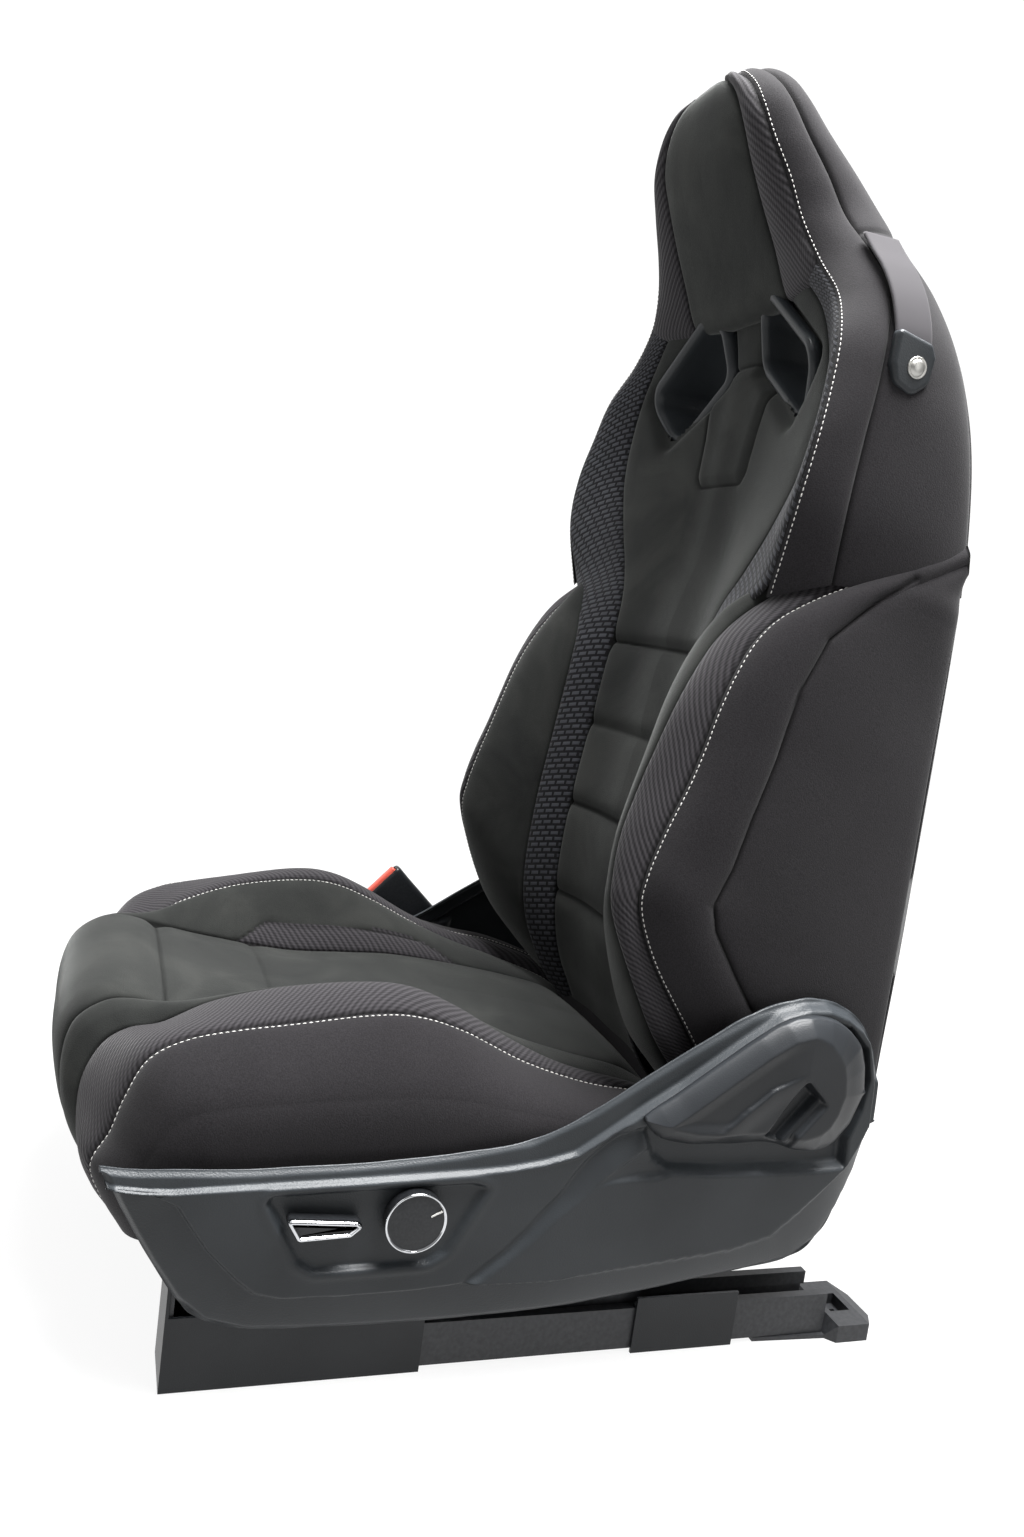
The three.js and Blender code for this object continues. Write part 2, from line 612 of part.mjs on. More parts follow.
// Head pad. Each row: z, middle Y, outer seam [x share, y], widest share, rear Y.
const headTopZ = backZ(1);
const headRows = [
  [headZ, 188, [0.6, 178], 0.71, 282], [headZ + 20, 180, [0.535, 173], 0.66, 272],
  [headZ + 60, 161, [0.488, 160], 0.61, 258], [headZ + 92, 144, [0.446, 147], 0.57, 240],
  [headZ + 125, 133, [0.4, 136], 0.52, 216], [headTopZ - 26, 129, [0.33, 132], 0.44, 196],
  [headTopZ - 7, 132, [0.22, 134], 0.34, 186], [headTopZ, 140, [0.16, 142], 0.22, 178],
];
const head = cut(
  loftZ(
    headRows.map(([z, mid, outer, wide, rear]) => {
      const side = (s) => [
        [s * bodyX(outer[0]), outer[1]], [s * bodyX(wide), (outer[1] + rear) / 2], [s * (bodyX(wide) - 12), rear - 12],
      ];
      return {
        at: z,
        points: [[0, mid], ...side(1), [bodyX(wide) / 2, rear], [-bodyX(wide) / 2, rear], ...side(-1).reverse()],
      };
    }),
  ),
  tunnel,
);
piece("head_pad", head, suede);

// Rear panel: a thin bowed shell that narrows to a stem between the slots.
const panelRows = [
  [backZ(-0.02), 228], [backZ(0.2), 236], [backZ(0.45), 238], [slot[2][1] - 12, 232], [slot[2][1] - 3, 112],
  [slot[1][1] - 4, stemHalfWidth], [headZ - 4, stemHalfWidth],
];
const panelScale = bodyHalfWidth / (248 + 14);
const panelBow = 22;
const panelPoints = (half) => {
  const arc = (offset) =>
    [-1, -0.75, -0.4, 0.4, 0.75, 1].map((s) => {
      const x = s * half;
      return [x, backRearY + offset + panelBow * (1 - (x / bodyHalfWidth) ** 2)];
    });
  return [...arc(0), ...arc(panelThickness).reverse()];
};
const rearPanel = loftZ(panelRows.map(([z, half]) => ({ at: z, points: panelPoints(half) })));
piece("back_panel", rearPanel, cloth);

// ---------- Belt guide: a strap sewn to the shoulder with a snap tab ----------
const strapY = [198, 234];
const strapLine = [
  [bodyX(0.71), headZ + 12], [bodyX(0.756), headZ - 3], [bodyX(0.878), headZ - 36], [bodyX(0.943), headZ - 68],
  [bodyX(0.951), headZ - 80],
];
const strapThickness = 3;
const strapOutline = [...strapLine, ...strapLine.map(([x, z]) => [x + strapThickness, z + 1]).reverse()];
piece("belt_guide_strap", barY(strapOutline, strapY), cloth);
const tabX = [bodyX(0.951) + strapThickness + gap, bodyX(0.951) + strapThickness + gap + 8];
const tabY = 214;
const tabZ = headZ - 84;
const tab = plateX(
  [[-18, 18], [14, 10], [19, 0], [16, -20], [4, -30], [-12, -22], [-18, -8]].map(([y, z]) => [tabY + y, tabZ + z]),
  tabX,
);
piece("belt_guide_tab", tab, plastic);
const studX = [bodyX(0.95), tabX[0] - gap];
piece("belt_guide_stud", barX(5, studX, tabY, tabZ - 16, 14), zinc);

// ---------- Side shields ----------
const shieldTop = [
  [-322, 198], [-272, 194], [-190, 196], [-119, 202], [-59, 208], [-13, 223], [32, 244], [79, 271], [126, 297],
  [178, 312], [228, 314], [258, 298], [280, 264],
];
const shieldLow = [
  [289, 211], [279, 141], [257, 92], [147, 77], [26, 64], [-101, 61], [-215, 65], [-245, 73], [-265, 89],
  [-285, 120], [-308, 162],
];
const shieldOutline = [...shieldTop, ...shieldLow].reverse();
const shieldCentre = [0, 160];
const inset = (outline, by) =>
  outline.map(([y, z], i) => {
    const [y0, z0] = outline[(i + outline.length - 1) % outline.length];
    const [y1, z1] = outline[(i + 1) % outline.length];
    const along = Math.hypot(y1 - y0, z1 - z0);
    return [y - (by * (z1 - z0)) / along, z + (by * (y1 - y0)) / along];
  });
const recess = [[-226, 178], [-66, 186], [-52, 182], [-84, 130], [-98, 122], [-178, 117], [-193, 125]].reverse();
const faceX = [shieldOuterX - shieldWall, shieldOuterX];
const shieldRod = circleOf(rodRadius + 3, pivotY, pivotZ, 16);
const shieldBody = (faceHoles) =>
  join(
    plateX(shieldOutline, faceX, faceHoles),
    plateX(shieldOutline, [shieldInnerX, shieldOuterX - 1], [inset(shieldOutline, shieldWall)]),
  );
piece("side_shield_left", shieldBody([recess, shieldRod]), plastic);
piece("side_shield_right", shieldBody([circleOf(12, 150, 112, 16)]), plastic).scale.x = -1;

// ---------- Switches: a panel behind the shield's window, a paddle and a rocking dial ----------
const panelX = [faceX[0] - gap - 3, faceX[0] - gap];
const paddleAt = [-169, 150];
const dialAt = [-103, 153];
const stemHole = (at) => circleOf(stemHoleRadius, at[0], at[1], 16);
piece("switch_panel", plateX(inset(recess, -5), panelX, [stemHole(paddleAt), stemHole(dialAt)]), plastic);
const carrierX = [panelX[0] - 9, panelX[0] - runningGap];
const stemX = [carrierX[1] + gap, shieldOuterX + 3];
const capX = [shieldOuterX + 2, shieldOuterX + 12];
const carrier = (at) =>
  block(carrierX, [at[0] - 9, at[0] + 9], [at[1] - 9, at[1] + 9]);
piece("switch_carrier", carrier(paddleAt), plastic);
piece("lumbar_gimbal", carrier(dialAt), plastic);
const paddleOutline = [[-198, 159], [-187, 141], [-149, 145], [-142, 152], [-145, 155]].reverse();
const paddle = join(plateX(paddleOutline, capX), barX(stemRadius, stemX, ...paddleAt, 12));
piece("switch_paddle", paddle, chrome);
const dial = join(barX(dialRadius, capX, ...dialAt, 32), barX(stemRadius, stemX, ...dialAt, 12));
piece("lumbar_dial", dial, plastic);

// ---------- Recline lever and its rod ----------
const leverX = [shieldOuterX + runningGap, shieldOuterX + runningGap + leverThickness];
const leverOutline = [
  ...Array.from({ length: 14 }, (_, i) => {
    const turn = Math.PI * (-0.72 + (1.33 * i) / 13);
    return [pivotY + leverHubRadius * Math.cos(turn), pivotZ + leverHubRadius * Math.sin(turn)];
  }),
  [147, 288], [101, 256], [67, 234], [69, 224], [84, 213], [108, 212], [160, 222],
];
piece("recline_lever", plateX(leverOutline, leverX), plastic);
piece("recliner_rod", barX(rodRadius, [-frameHalfWidth - 4, leverX[0] - gap], pivotY, pivotZ, 14), zinc);

// ---------- Buckle on the right ----------
// The buckle is drawn upright over its anchor bolt, then leans forward.
const anchorAt = [150, 112];
const buckleLean = 48;
const buckleX = [-shieldOuterX - runningGap - 17, -shieldOuterX - runningGap];
const buckle = new THREE.Group();
buckle.position.set(0, ...anchorAt);
buckle.rotation.x = THREE.MathUtils.degToRad(buckleLean);
seat.add(buckle);
const stalkX = [buckleX[0] + 6, buckleX[1] - 6];
const stalkTop = 128;
const stalkOutline = [[-11, 16], [-13, -10], [13, -10], [11, 16], [11, stalkTop], [-11, stalkTop]];
const boltHole = circleOf(6, 0, 0, 14);
piece("buckle_stalk", plateX(stalkOutline, stalkX, [boltHole]), steel, buckle);
const buckleTop = 218;
const buckleShell = cut(
  plateX([[-24, stalkTop + gap], [24, stalkTop + gap], [27, buckleTop], [-27, buckleTop]], buckleX),
  block([buckleX[0] + 3, buckleX[1] - 3], [-22, 22], [buckleTop - 14, buckleTop + 5]),
);
piece("buckle_shell", buckleShell, plastic, buckle);
const buttonX = [buckleX[0] + 3.5, buckleX[1] - 3.5];
piece("buckle_button", block(buttonX, [-21.5, 21.5], [buckleTop - 7, buckleTop + 3]), red, buckle);
const anchorX = [-shieldOuterX - runningGap, -frameHalfWidth - gap];
const anchorBolt = join(
  barX(9, anchorX, ...anchorAt, 12),
  barX(5, [buckleX[0] + 2, anchorX[0] + 1], ...anchorAt, 12),
  barX(11, [buckleX[0] + 1, stalkX[0] - gap], ...anchorAt, 12),
);
piece("buckle_bolt", anchorBolt, zinc);

export default seat;
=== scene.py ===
import json
import math

import bmesh
import bpy
import numpy as np
from mathutils import Matrix, Vector, noise


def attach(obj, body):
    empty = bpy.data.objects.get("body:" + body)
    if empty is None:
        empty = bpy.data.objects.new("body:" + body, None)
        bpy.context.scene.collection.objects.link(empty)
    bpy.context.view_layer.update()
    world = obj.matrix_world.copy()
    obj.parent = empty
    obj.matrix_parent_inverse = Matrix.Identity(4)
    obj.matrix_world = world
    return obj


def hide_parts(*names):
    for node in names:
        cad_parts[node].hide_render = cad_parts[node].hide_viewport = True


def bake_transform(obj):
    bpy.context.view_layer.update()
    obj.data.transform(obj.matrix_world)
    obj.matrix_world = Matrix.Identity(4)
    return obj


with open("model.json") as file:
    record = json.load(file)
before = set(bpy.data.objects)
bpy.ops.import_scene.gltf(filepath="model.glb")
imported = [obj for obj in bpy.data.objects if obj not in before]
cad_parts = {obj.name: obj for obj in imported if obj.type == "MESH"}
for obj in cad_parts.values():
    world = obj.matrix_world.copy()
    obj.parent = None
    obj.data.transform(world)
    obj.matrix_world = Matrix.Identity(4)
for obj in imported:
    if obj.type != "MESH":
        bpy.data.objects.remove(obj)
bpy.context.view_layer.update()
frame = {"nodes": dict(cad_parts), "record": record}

# ---------- Camera ----------
# It stands low on the sitter's left, ahead of the front edge, and leans a little to one side.
CAMERA_AT = (1.0738, -0.3521, 0.5977)
SENSOR = 36
FOCAL_SHARE = 1200 / 1537  # the focal length as a share of the picture's height
cam_right = Vector((0.31465, 0.94002, 0.13178))
cam_up = Vector((-0.16589, -0.08223, 0.98271))
cam_back = cam_right.cross(cam_up)
camera = bpy.data.objects.new("camera", bpy.data.cameras.new("camera"))
bpy.context.scene.collection.objects.link(camera)
cam_turn = Matrix((cam_right, cam_up, cam_back)).transposed().to_4x4()
camera.matrix_world = Matrix.Translation(CAMERA_AT) @ cam_turn
camera.data.sensor_width = SENSOR
camera.data.lens = SENSOR * FOCAL_SHARE
camera.data.clip_start = 0.05
bpy.context.scene.camera = camera

# ---------- Back middle: brushed suede between two knitted strips ----------
# One cut panel of suede laid over foam, with sewn channels across it, runs from the cushion to the
# neck between the harness slots. A strip of knitted cloth is sewn along each side of it, and widens
# over the shoulders as far as the white topstitched edge.
DATUM_Y = 14  # mm from the pattern's own origin to the floor origin
SEAM_WIDTH = 0.0016  # half the width of a seam's crease, in metres
SEAM_DEPTH = 0.0016
SEAM_BREAK = 0.6  # how sharply the skin turns at a seam: 0 is smooth, and 1 is straight from rail to rail
ROLL_WIDTH = 6.0  # mm beside a seam in which the foam rolls up to its full height
EVEN_SHARE = 0.12  # columns are a little even, and mostly gathered at the rails
WELD = 0.0004
SIDES = (("left", 1), ("right", -1))


def smooth_line(points, samples):
    """A Catmull-Rom line through the points, in mm of the pattern, as metres in the row frame."""
    p = np.array(points, float)
    p[:, 1] += DATUM_Y
    p = np.vstack([2 * p[0] - p[1], p, 2 * p[-1] - p[-2]]) / 1000
    t = np.linspace(0, len(points) - 1 - 1e-9, samples)
    i = t.astype(int)
    f = (t - i)[:, None]
    a, b, c, d = p[i], p[i + 1], p[i + 2], p[i + 3]
    return 0.5 * (2 * b + (c - a) * f + (2 * a - 5 * b + 4 * c - d) * f**2 + (3 * b - a - 3 * c + d) * f**3)


def unit(v):
    return v / np.maximum(np.linalg.norm(v, axis=-1, keepdims=True), 1e-12)


def flipped(line):
    return line * (-1, 1, 1)


def on_centre(line):
    return np.abs(line[:, 0]).max() < 1e-6


def rise(value, low, high):
    """0 below low and 1 above high, turning smoothly between them."""
    t = np.clip((value - low) / (high - low), 0, 1)
    return t * t * (3 - 2 * t)


def line_gap(u, v, line):
    """How far each (u, v) is from a line of points."""
    best = np.full(np.shape(u), 1e9)
    for (a, b), (c, d) in zip(line[:-1], line[1:]):
        du, dv = c - a, d - b
        t = np.clip(((u - a) * du + (v - b) * dv) / max(du * du + dv * dv, 1e-9), 0, 1)
        best = np.minimum(best, np.hypot(u - a - t * du, v - b - t * dv))
    return best


def depth_in(u, v, outline):
    """How far each (u, v) is inside a closed outline; less than 0 outside it."""
    ring = [tuple(p) for p in outline]
    ring.append(ring[0])
    hit = np.zeros(np.shape(u), bool)
    for (a, b), (c, d) in zip(ring[:-1], ring[1:]):
        if b != d:
            hit ^= ((b > v) != (d > v)) & (u < (c - a) * (v - b) / (d - b) + a)
    gap = line_gap(u, v, ring)
    return np.where(hit, gap, -gap)


class Cover:
    """A cut-and-sewn skin stretched over rails. Each span between two rails is one panel of cloth."""

    def __init__(self, rails, columns, rows, seams, roll=3.0, crown=None):
        lines = [smooth_line(r, rows) for r in rails]
        crown = crown or [0] * len(columns)
        strips, self.rail_column, self.span, share = [], [0], [], []
        for j, cols in enumerate(columns):
            p, q = lines[j], lines[j + 1]
            before = lines[j - 1] if j > 0 else flipped(q) if on_centre(p) else 2 * p - q
            after = lines[j + 2] if j + 2 < len(lines) else flipped(p) if on_centre(q) else 2 * q - p
            chord = q - p
            m0 = (q - before) / 2
            m1 = (after - p) / 2
            if j in seams:
                m0 = SEAM_BREAK * chord + (1 - SEAM_BREAK) * m0
            if j + 1 in seams:
                m1 = SEAM_BREAK * chord + (1 - SEAM_BREAK) * m1
            last = j == len(columns) - 1
            for k in range(cols + (1 if last else 0)):
                gathered = 0.5 - 0.5 * math.cos(math.pi * k / cols)
                s = EVEN_SHARE * k / cols + (1 - EVEN_SHARE) * gathered
                h = (2 * s**3 - 3 * s**2 + 1, s**3 - 2 * s**2 + s, 3 * s**2 - 2 * s**3, s**3 - s**2)
                strips.append(h[0] * p + h[1] * m0 + h[2] * q + h[3] * m1)
                self.span.append(j)
                puff = 1 - s * s if on_centre(p) else 1 - (1 - s) ** 2 if on_centre(q) else 4 * s * (1 - s)
                share.append(puff * crown[j] / 1000)
            self.rail_column.append(self.rail_column[-1] + cols)
        base = np.stack(strips, axis=1)
        normal = np.cross(np.gradient(base, axis=1), np.gradient(base, axis=0))
        for column in (0, -1):
            if on_centre(base[:, column]):
                normal[:, column, 0] = 0
        self.normal = unit(normal)
        step = np.linalg.norm(np.diff(base, axis=1), axis=2)
        self.across = np.hstack([np.zeros((rows, 1)), np.cumsum(step, axis=1)])
        climb = np.linalg.norm(np.diff(base, axis=0), axis=2)
        self.along = np.vstack([np.zeros((1, base.shape[1])), np.cumsum(climb, axis=0)])
        near = np.full(base.shape[:2], 1.0)
        for j in seams:
            column = self.rail_column[j]
            near = np.minimum(near, np.abs(self.across - self.across[:, column : column + 1]))
        self.near = near
        self.base = base
        self.lift = roll / 1000 * (1 - np.exp(-near * 1000 / ROLL_WIDTH)) + np.array(share)[None, :]
        # This crease also goes to the mesh, where the cloth materials paint shade into it.
        self.crease = np.exp(-((near / SEAM_WIDTH) ** 2))
        self.lift -= SEAM_DEPTH * self.crease

    def points(self):
        return self.base + self.normal * self.lift[:, :, None]

    def mm(self):
        """The bare shape's x, y and z in mm."""
        return [self.base[:, :, k] * 1000 for k in range(3)]

    def stitch_down(self, gap_mm, where, roll=2.4, roll_width=5.0, crease=0.0018):
        """A seam sewn inside a panel, at no gap, in the part of the skin marked."""
        gap = np.where(where, gap_mm, 1e6) / 1000
        sharp = np.exp(-((gap / SEAM_WIDTH) ** 2))
        self.lift -= roll / 1000 * np.exp(-gap * 1000 / roll_width) + crease * sharp
        # The stitched crease also gets painted shade in the cloth.
        self.crease = np.maximum(self.crease, sharp)

    def ripple(self, size, height, seed):
        """Soft unevenness of foam under cloth, fading out at the seams."""
        for r in range(self.base.shape[0]):
            for c in range(self.base.shape[1]):
                p = Vector(self.base[r, c]) / size + Vector((seed, 0, 0))
                self.lift[r, c] += height * noise.noise(p) * min(1.0, self.near[r, c] / 0.02)

    def beside(self, rail, distance):
        """The line on the skin that runs a distance, in mm, to one side of a rail, with its normals."""
        skin = self.points()
        column = self.rail_column[rail]
        line, normals = [], []
        for r in range(skin.shape[0]):
            want = self.across[r, column] + distance / 1000
            line.append([np.interp(want, self.across[r], skin[r, :, k]) for k in range(3)])
            normals.append(self.normal[r, column + (1 if distance > 0 else -1)])
        return np.array(line), unit(np.array(normals))


def lay(bm, skin, slot=0, across=None, along=None, crease=None, keep=None):
    """Lays a grid of faces over a table of points, with a material slot for each face and UVs in metres."""
    rows, cols = skin.shape[:2]
    uv = bm.loops.layers.uv.get("cloth") or bm.loops.layers.uv.new("cloth")
    mark = bm.verts.layers.float.get("crease") or bm.verts.layers.float.new("crease")
    made = bmesh.ops.create_grid(bm, x_segments=cols - 1, y_segments=rows - 1, size=1.0)
    place = {}
    for v in made["verts"]:
        c = round((v.co.x + 1) / 2 * (cols - 1))
        r = round((v.co.y + 1) / 2 * (rows - 1))
        place[v] = (r, c)
        v.co = skin[r, c]
        # The crease attribute tells the cloth materials where to paint shade.
        if crease is not None:
            v[mark] = crease[r, c]
    drop = []
    for f in {f for v in made["verts"] for f in v.link_faces}:
        cells = [place[v] for v in f.verts]
        r, c = min(r for r, _ in cells), min(c for _, c in cells)
        f.material_index = slot if isinstance(slot, int) else int(slot[r, c])
        f.smooth = True
        if across is not None:
            for loop in f.loops:
                at = place[loop.vert]
                loop[uv].uv = (across[at], along[at])
        if keep is not None and not all(keep[at] for at in cells):
            drop.append(f)
    if drop:
        bmesh.ops.delete(bm, geom=drop, context="FACES")


def skin_mesh(bm, cover, slots, keep=None, slot=None):
    if slot is None:
        slot = np.tile(np.array(slots)[np.array(cover.span)], (cover.base.shape[0], 1))
    lay(bm, cover.points(), slot, cover.across, cover.along, cover.crease, keep)


def make_object(name, bm, materials):
    mesh = bpy.data.meshes.new(name)
    bm.to_mesh(mesh)
    bm.free()
    for m in materials:
        mesh.materials.append(m)
    obj = bpy.data.objects.new(name, mesh)
    bpy.context.scene.collection.objects.link(obj)
    return obj


def finish_piece(name, bm, materials, body, replaced=()):
    """Makes the object, and ties it to its body."""
    obj = make_object(name, bm, materials)
    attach(obj, body)
    if replaced:
        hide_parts(*replaced)
    return obj


def weld(bm, reach):
    bmesh.ops.remove_doubles(bm, verts=bm.verts[:], dist=reach)


def face_out(bm):
    bmesh.ops.recalc_face_normals(bm, faces=bm.faces[:])


def face_along(bm, axis, sign):
    """Turns an open sheet so that most of it faces along an axis."""
    face_out(bm)
    if sum(f.normal[axis] for f in bm.faces) * sign < 0:
        bmesh.ops.reverse_faces(bm, faces=bm.faces[:])


def cap_holes(bm):
    """Fills every open edge loop, and returns the new faces."""
    return bmesh.ops.holes_fill(bm, edges=[e for e in bm.edges if e.is_boundary], sides=0)["faces"]


def mirror_and_weld(bm):
    geom = bm.verts[:] + bm.edges[:] + bm.faces[:]
    bmesh.ops.mirror(bm, geom=geom, axis="X", merge_dist=WELD, matrix=Matrix.Identity(4))
    weld(bm, WELD / 4)
    face_out(bm)


def thicken(obj, thickness, offset):
    wall = obj.modifiers.new("wall", "SOLIDIFY")
    wall.thickness = thickness
    wall.offset = offset


def new_material(name, colour, roughness, metallic=0.0, **inputs):
    """A plain shader to build on: returns the material, a maker of nodes, and ways to join them."""
    material = bpy.data.materials.new(name)
    material.use_nodes = True
    tree = material.node_tree
    shader = tree.nodes["Principled BSDF"]
    shader.inputs["Base Color"].default_value = (*colour, 1)
    shader.inputs["Roughness"].default_value = roughness
    shader.inputs["Metallic"].default_value = metallic
    for key, value in inputs.items():
        shader.inputs[key.replace("_", " ")].default_value = value

    def node(kind, links=None, **settings):
        n = tree.nodes.new("ShaderNode" + kind)
        for key, value in settings.items():
            if key.startswith("in_"):
                n.inputs[key[3:].replace("_", " ")].default_value = value
            else:
                setattr(n, key, value)
        for socket, source in (links or {}).items():
            tree.links.new(source, n.inputs[socket])
        return n

    def math_node(operation, a, b=None):
        n = node("Math", operation=operation)
        for i, value in enumerate((a, b)):
            if value is None:
                continue
            if isinstance(value, (int, float)):
                n.inputs[i].default_value = value
            else:
                tree.links.new(value, n.inputs[i])
        return n.outputs[0]

    def bump(height, strength, distance, under=None):
        n = node("Bump", {"Height": height}, in_Strength=strength, in_Distance=distance)
        if under is not None:
            tree.links.new(under, n.inputs["Normal"])
        return n.outputs["Normal"]

    def ramp(factor, stops):
        n = node("ValToRGB", {"Fac": factor})
        for i, (at, tone) in enumerate(stops):
            element = n.color_ramp.elements[i] if i < 2 else n.color_ramp.elements.new(at)
            element.position = at
            element.color = (*tone, 1)
        return n.outputs["Color"]

    def join(source, socket):
        tree.links.new(source, shader.inputs[socket])

    return material, node, math_node, bump, ramp, join


def object_point(node):
    return node("TexCoord").outputs["Object"]


def cloth_uv(node):
    return node("UVMap", uv_map="cloth").outputs["UV"]


def painted_crease_shade(node, math_node, colour):
    """Darkens a cloth colour in the crease of a seam, as painted shade."""
    sunk = node("Attribute", attribute_name="crease").outputs["Fac"]
    shade = math_node("SUBTRACT", 1.0, math_node("MULTIPLY", sunk, 0.8))
    mix = node("VectorMath", {0: colour, 1: shade}, operation="MULTIPLY")
    return mix.outputs[0]


# Suede: a brushed nap, darker where it lies one way and lighter where it lies the other.
suede, node, math_node, bump, ramp, join = new_material(
    "suede", (0.03, 0.031, 0.03), 0.95, Sheen_Weight=0.17, Sheen_Roughness=0.4,
    Sheen_Tint=(0.8, 0.82, 0.8, 1), Specular_IOR_Level=0.12,
)
brushed = node(
    "TexNoise", {"Vector": object_point(node)}, in_Scale=11, in_Detail=4, in_Roughness=0.55, in_Distortion=0.9
)
nap = node("TexNoise", {"Vector": object_point(node)}, in_Scale=1100, in_Detail=2)
lie = math_node("MULTIPLY", brushed.outputs["Fac"], 0.75)
lay_of_nap = math_node("ADD", lie, math_node("MULTIPLY", nap.outputs["Fac"], 0.25))
SUEDE_TONES = [(0.32, (0.0135, 0.0142, 0.014)), (0.5, (0.02, 0.021, 0.02)), (0.7, (0.032, 0.033, 0.031))]
tones = ramp(lay_of_nap, SUEDE_TONES)
# Painted shade darkens the suede in its seam creases.
join(painted_crease_shade(node, math_node, tones), "Base Color")
join(bump(nap.outputs["Fac"], 0.5, 0.0006, bump(brushed.outputs["Fac"], 0.2, 0.004)), "Normal")

# Knitted strip: a dark ground with rows of short raised bars.
knit, node, math_node, bump, ramp, join = new_material(
    "knitted_strip", (0.02, 0.021, 0.024), 0.85, Sheen_Weight=0.08, Specular_IOR_Level=0.15
)
bars = node(
    "TexBrick", {"Vector": cloth_uv(node)}, in_Scale=1.0, in_Brick_Width=0.0105, in_Row_Height=0.0062,
    in_Mortar_Size=0.0019, in_Mortar_Smooth=0.5, in_Color1=(1, 1, 1, 1), in_Color2=(0.7, 0.7, 0.7, 1),
    in_Mortar=(0, 0, 0, 1),
)
tones = ramp(bars.outputs["Color"], [(0.1, (0.008, 0.008, 0.0095)), (0.9, (0.05, 0.052, 0.06))])
# Painted shade darkens the knit in its seam creases.
join(painted_crease_shade(node, math_node, tones), "Base Color")
yarn = node("TexNoise", {"Vector": cloth_uv(node)}, in_Scale=1800, in_Detail=1)
join(bump(bars.outputs["Color"], 0.7, 0.0014, bump(yarn.outputs["Fac"], 0.4, 0.0004)), "Normal")

MIDDLE_CENTRE = [
    (0, 162, 182), (0, 152, 206), (0, 139, 235), (0, 131, 270), (0, 128, 320), (0, 129, 400), (0, 143, 492),
    (0, 150, 545), (0, 157, 590), (0, 168, 632), (0, 179, 669), (0, 185, 710), (0, 189, 755), (0, 194, 800),
    (0, 199, 850), (0, 197, 882), (0, 190, 915),
]
MIDDLE_QUARTER = [(54, y - 1, z) for _, y, z in MIDDLE_CENTRE]
MIDDLE_SEAM = [
    (100, 158, 182), (100, 146, 206), (100, 132, 235), (100, 122, 270), (100, 116, 320), (100, 119, 400),
    (100, 130, 492), (101, 137, 545), (103, 143, 585), (112, 151, 625), (134, 158, 660), (165, 163, 705),
    (190, 168, 755), (194, 172, 800), (183, 174, 842), (160, 175, 878), (128, 172, 908),
]
STRIP_EDGE = [
    (132, 150, 182), (132, 128, 206), (131, 112, 235), (130, 97, 270), (130, 89, 320), (130, 92, 400),
    (131, 103, 492), (133, 110, 545), (142, 117, 585), (172, 126, 617), (213, 134, 646), (240, 129, 702),
    (246, 134, 755), (238, 144, 803), (226, 152, 841), (194, 164, 879), (158, 164, 914),
]
CHANNELS = [(308, 0.0035), (405, 0.004), (492, 0.004), (580, 0.006)]
SLOT = [(45, 181, 914), (37, 202, 853), (123, 195, 797), (153, 179, 841)]
SLOT_XZ = [(x, z) for x, _, z in SLOT]
TONGUE = [
    (24, 857), (-24, 857), (-60, 831), (-52, 790), (-49, 752), (-40, 742), (40, 742), (49, 752), (52, 790),
    (60, 831),
]


def box(half, low, high):
    return [(-half, low), (half, low), (half, high), (-half, high)]


def rounded(corners, radius, steps=6):
    """A closed outline through the corners, each turned on an arc."""
    ring, n = [], len(corners)
    for i in range(n):
        a, b, c = (np.array(corners[(i + k) % n], float) for k in (-1, 0, 1))
        r = radius[i] if isinstance(radius, (list, tuple)) else radius
        u, w = unit(a - b), unit(c - b)
        half = math.acos(float(np.clip(u @ w, -1, 1))) / 2
        reach = min(r / math.tan(half), 0.48 * np.linalg.norm(a - b), 0.48 * np.linalg.norm(c - b))
        r = reach * math.tan(half)
        centre = b + unit(u + w) * (r / math.sin(half))
        first, last = b + u * reach - centre, b + w * reach - centre
        start = math.atan2(first[1], first[0])
        turn = (math.atan2(last[1], last[0]) - start + math.pi) % (2 * math.pi) - math.pi
        for k in range(steps + 1):
            angle = start + turn * k / steps
            ring.append((centre[0] + r * math.cos(angle), centre[1] + r * math.sin(angle)))
    return np.array(ring)


def open_slot(cover):
    """Draws the cloth in under the slot's frame, and returns which of it is left once the slot is cut."""
    x, _, z = cover.mm()
    gap = -depth_in(np.abs(x), z, SLOT_XZ)
    cover.lift -= 0.0085 * np.exp(-((np.maximum(gap - 6, 0) / 8) ** 2))
    return gap > 0.5


middle = Cover(
    [MIDDLE_CENTRE, MIDDLE_QUARTER, MIDDLE_SEAM, STRIP_EDGE], [20, 40, 16], 330, seams={2, 3}, roll=3.2
)
suede_part = np.tile(np.array(middle.span) < 2, (330, 1))
x, y, z = middle.mm()
for at, depth in CHANNELS:
    middle.lift -= np.where(suede_part, depth * np.exp(-((np.abs(z - at) / 8) ** 1.3)), 0)
    middle.stitch_down(np.abs(z - at), suede_part, roll=0)
tongue_depth = depth_in(x, z, rounded(TONGUE, 9, 4))
middle.lift += 0.003 * rise(tongue_depth, 0, 12)
middle.stitch_down(np.abs(tongue_depth), suede_part, roll=1.5)
middle.ripple(0.09, 0.0018, 3.1)
left = open_slot(middle)
bm = bmesh.new()
skin_mesh(bm, middle, [0, 0, 1], keep=left)
mirror_and_weld(bm)
finish_piece(
    "back_middle", bm, [suede, knit], "backrest", ["back_insert", "shoulder_insert"]
)

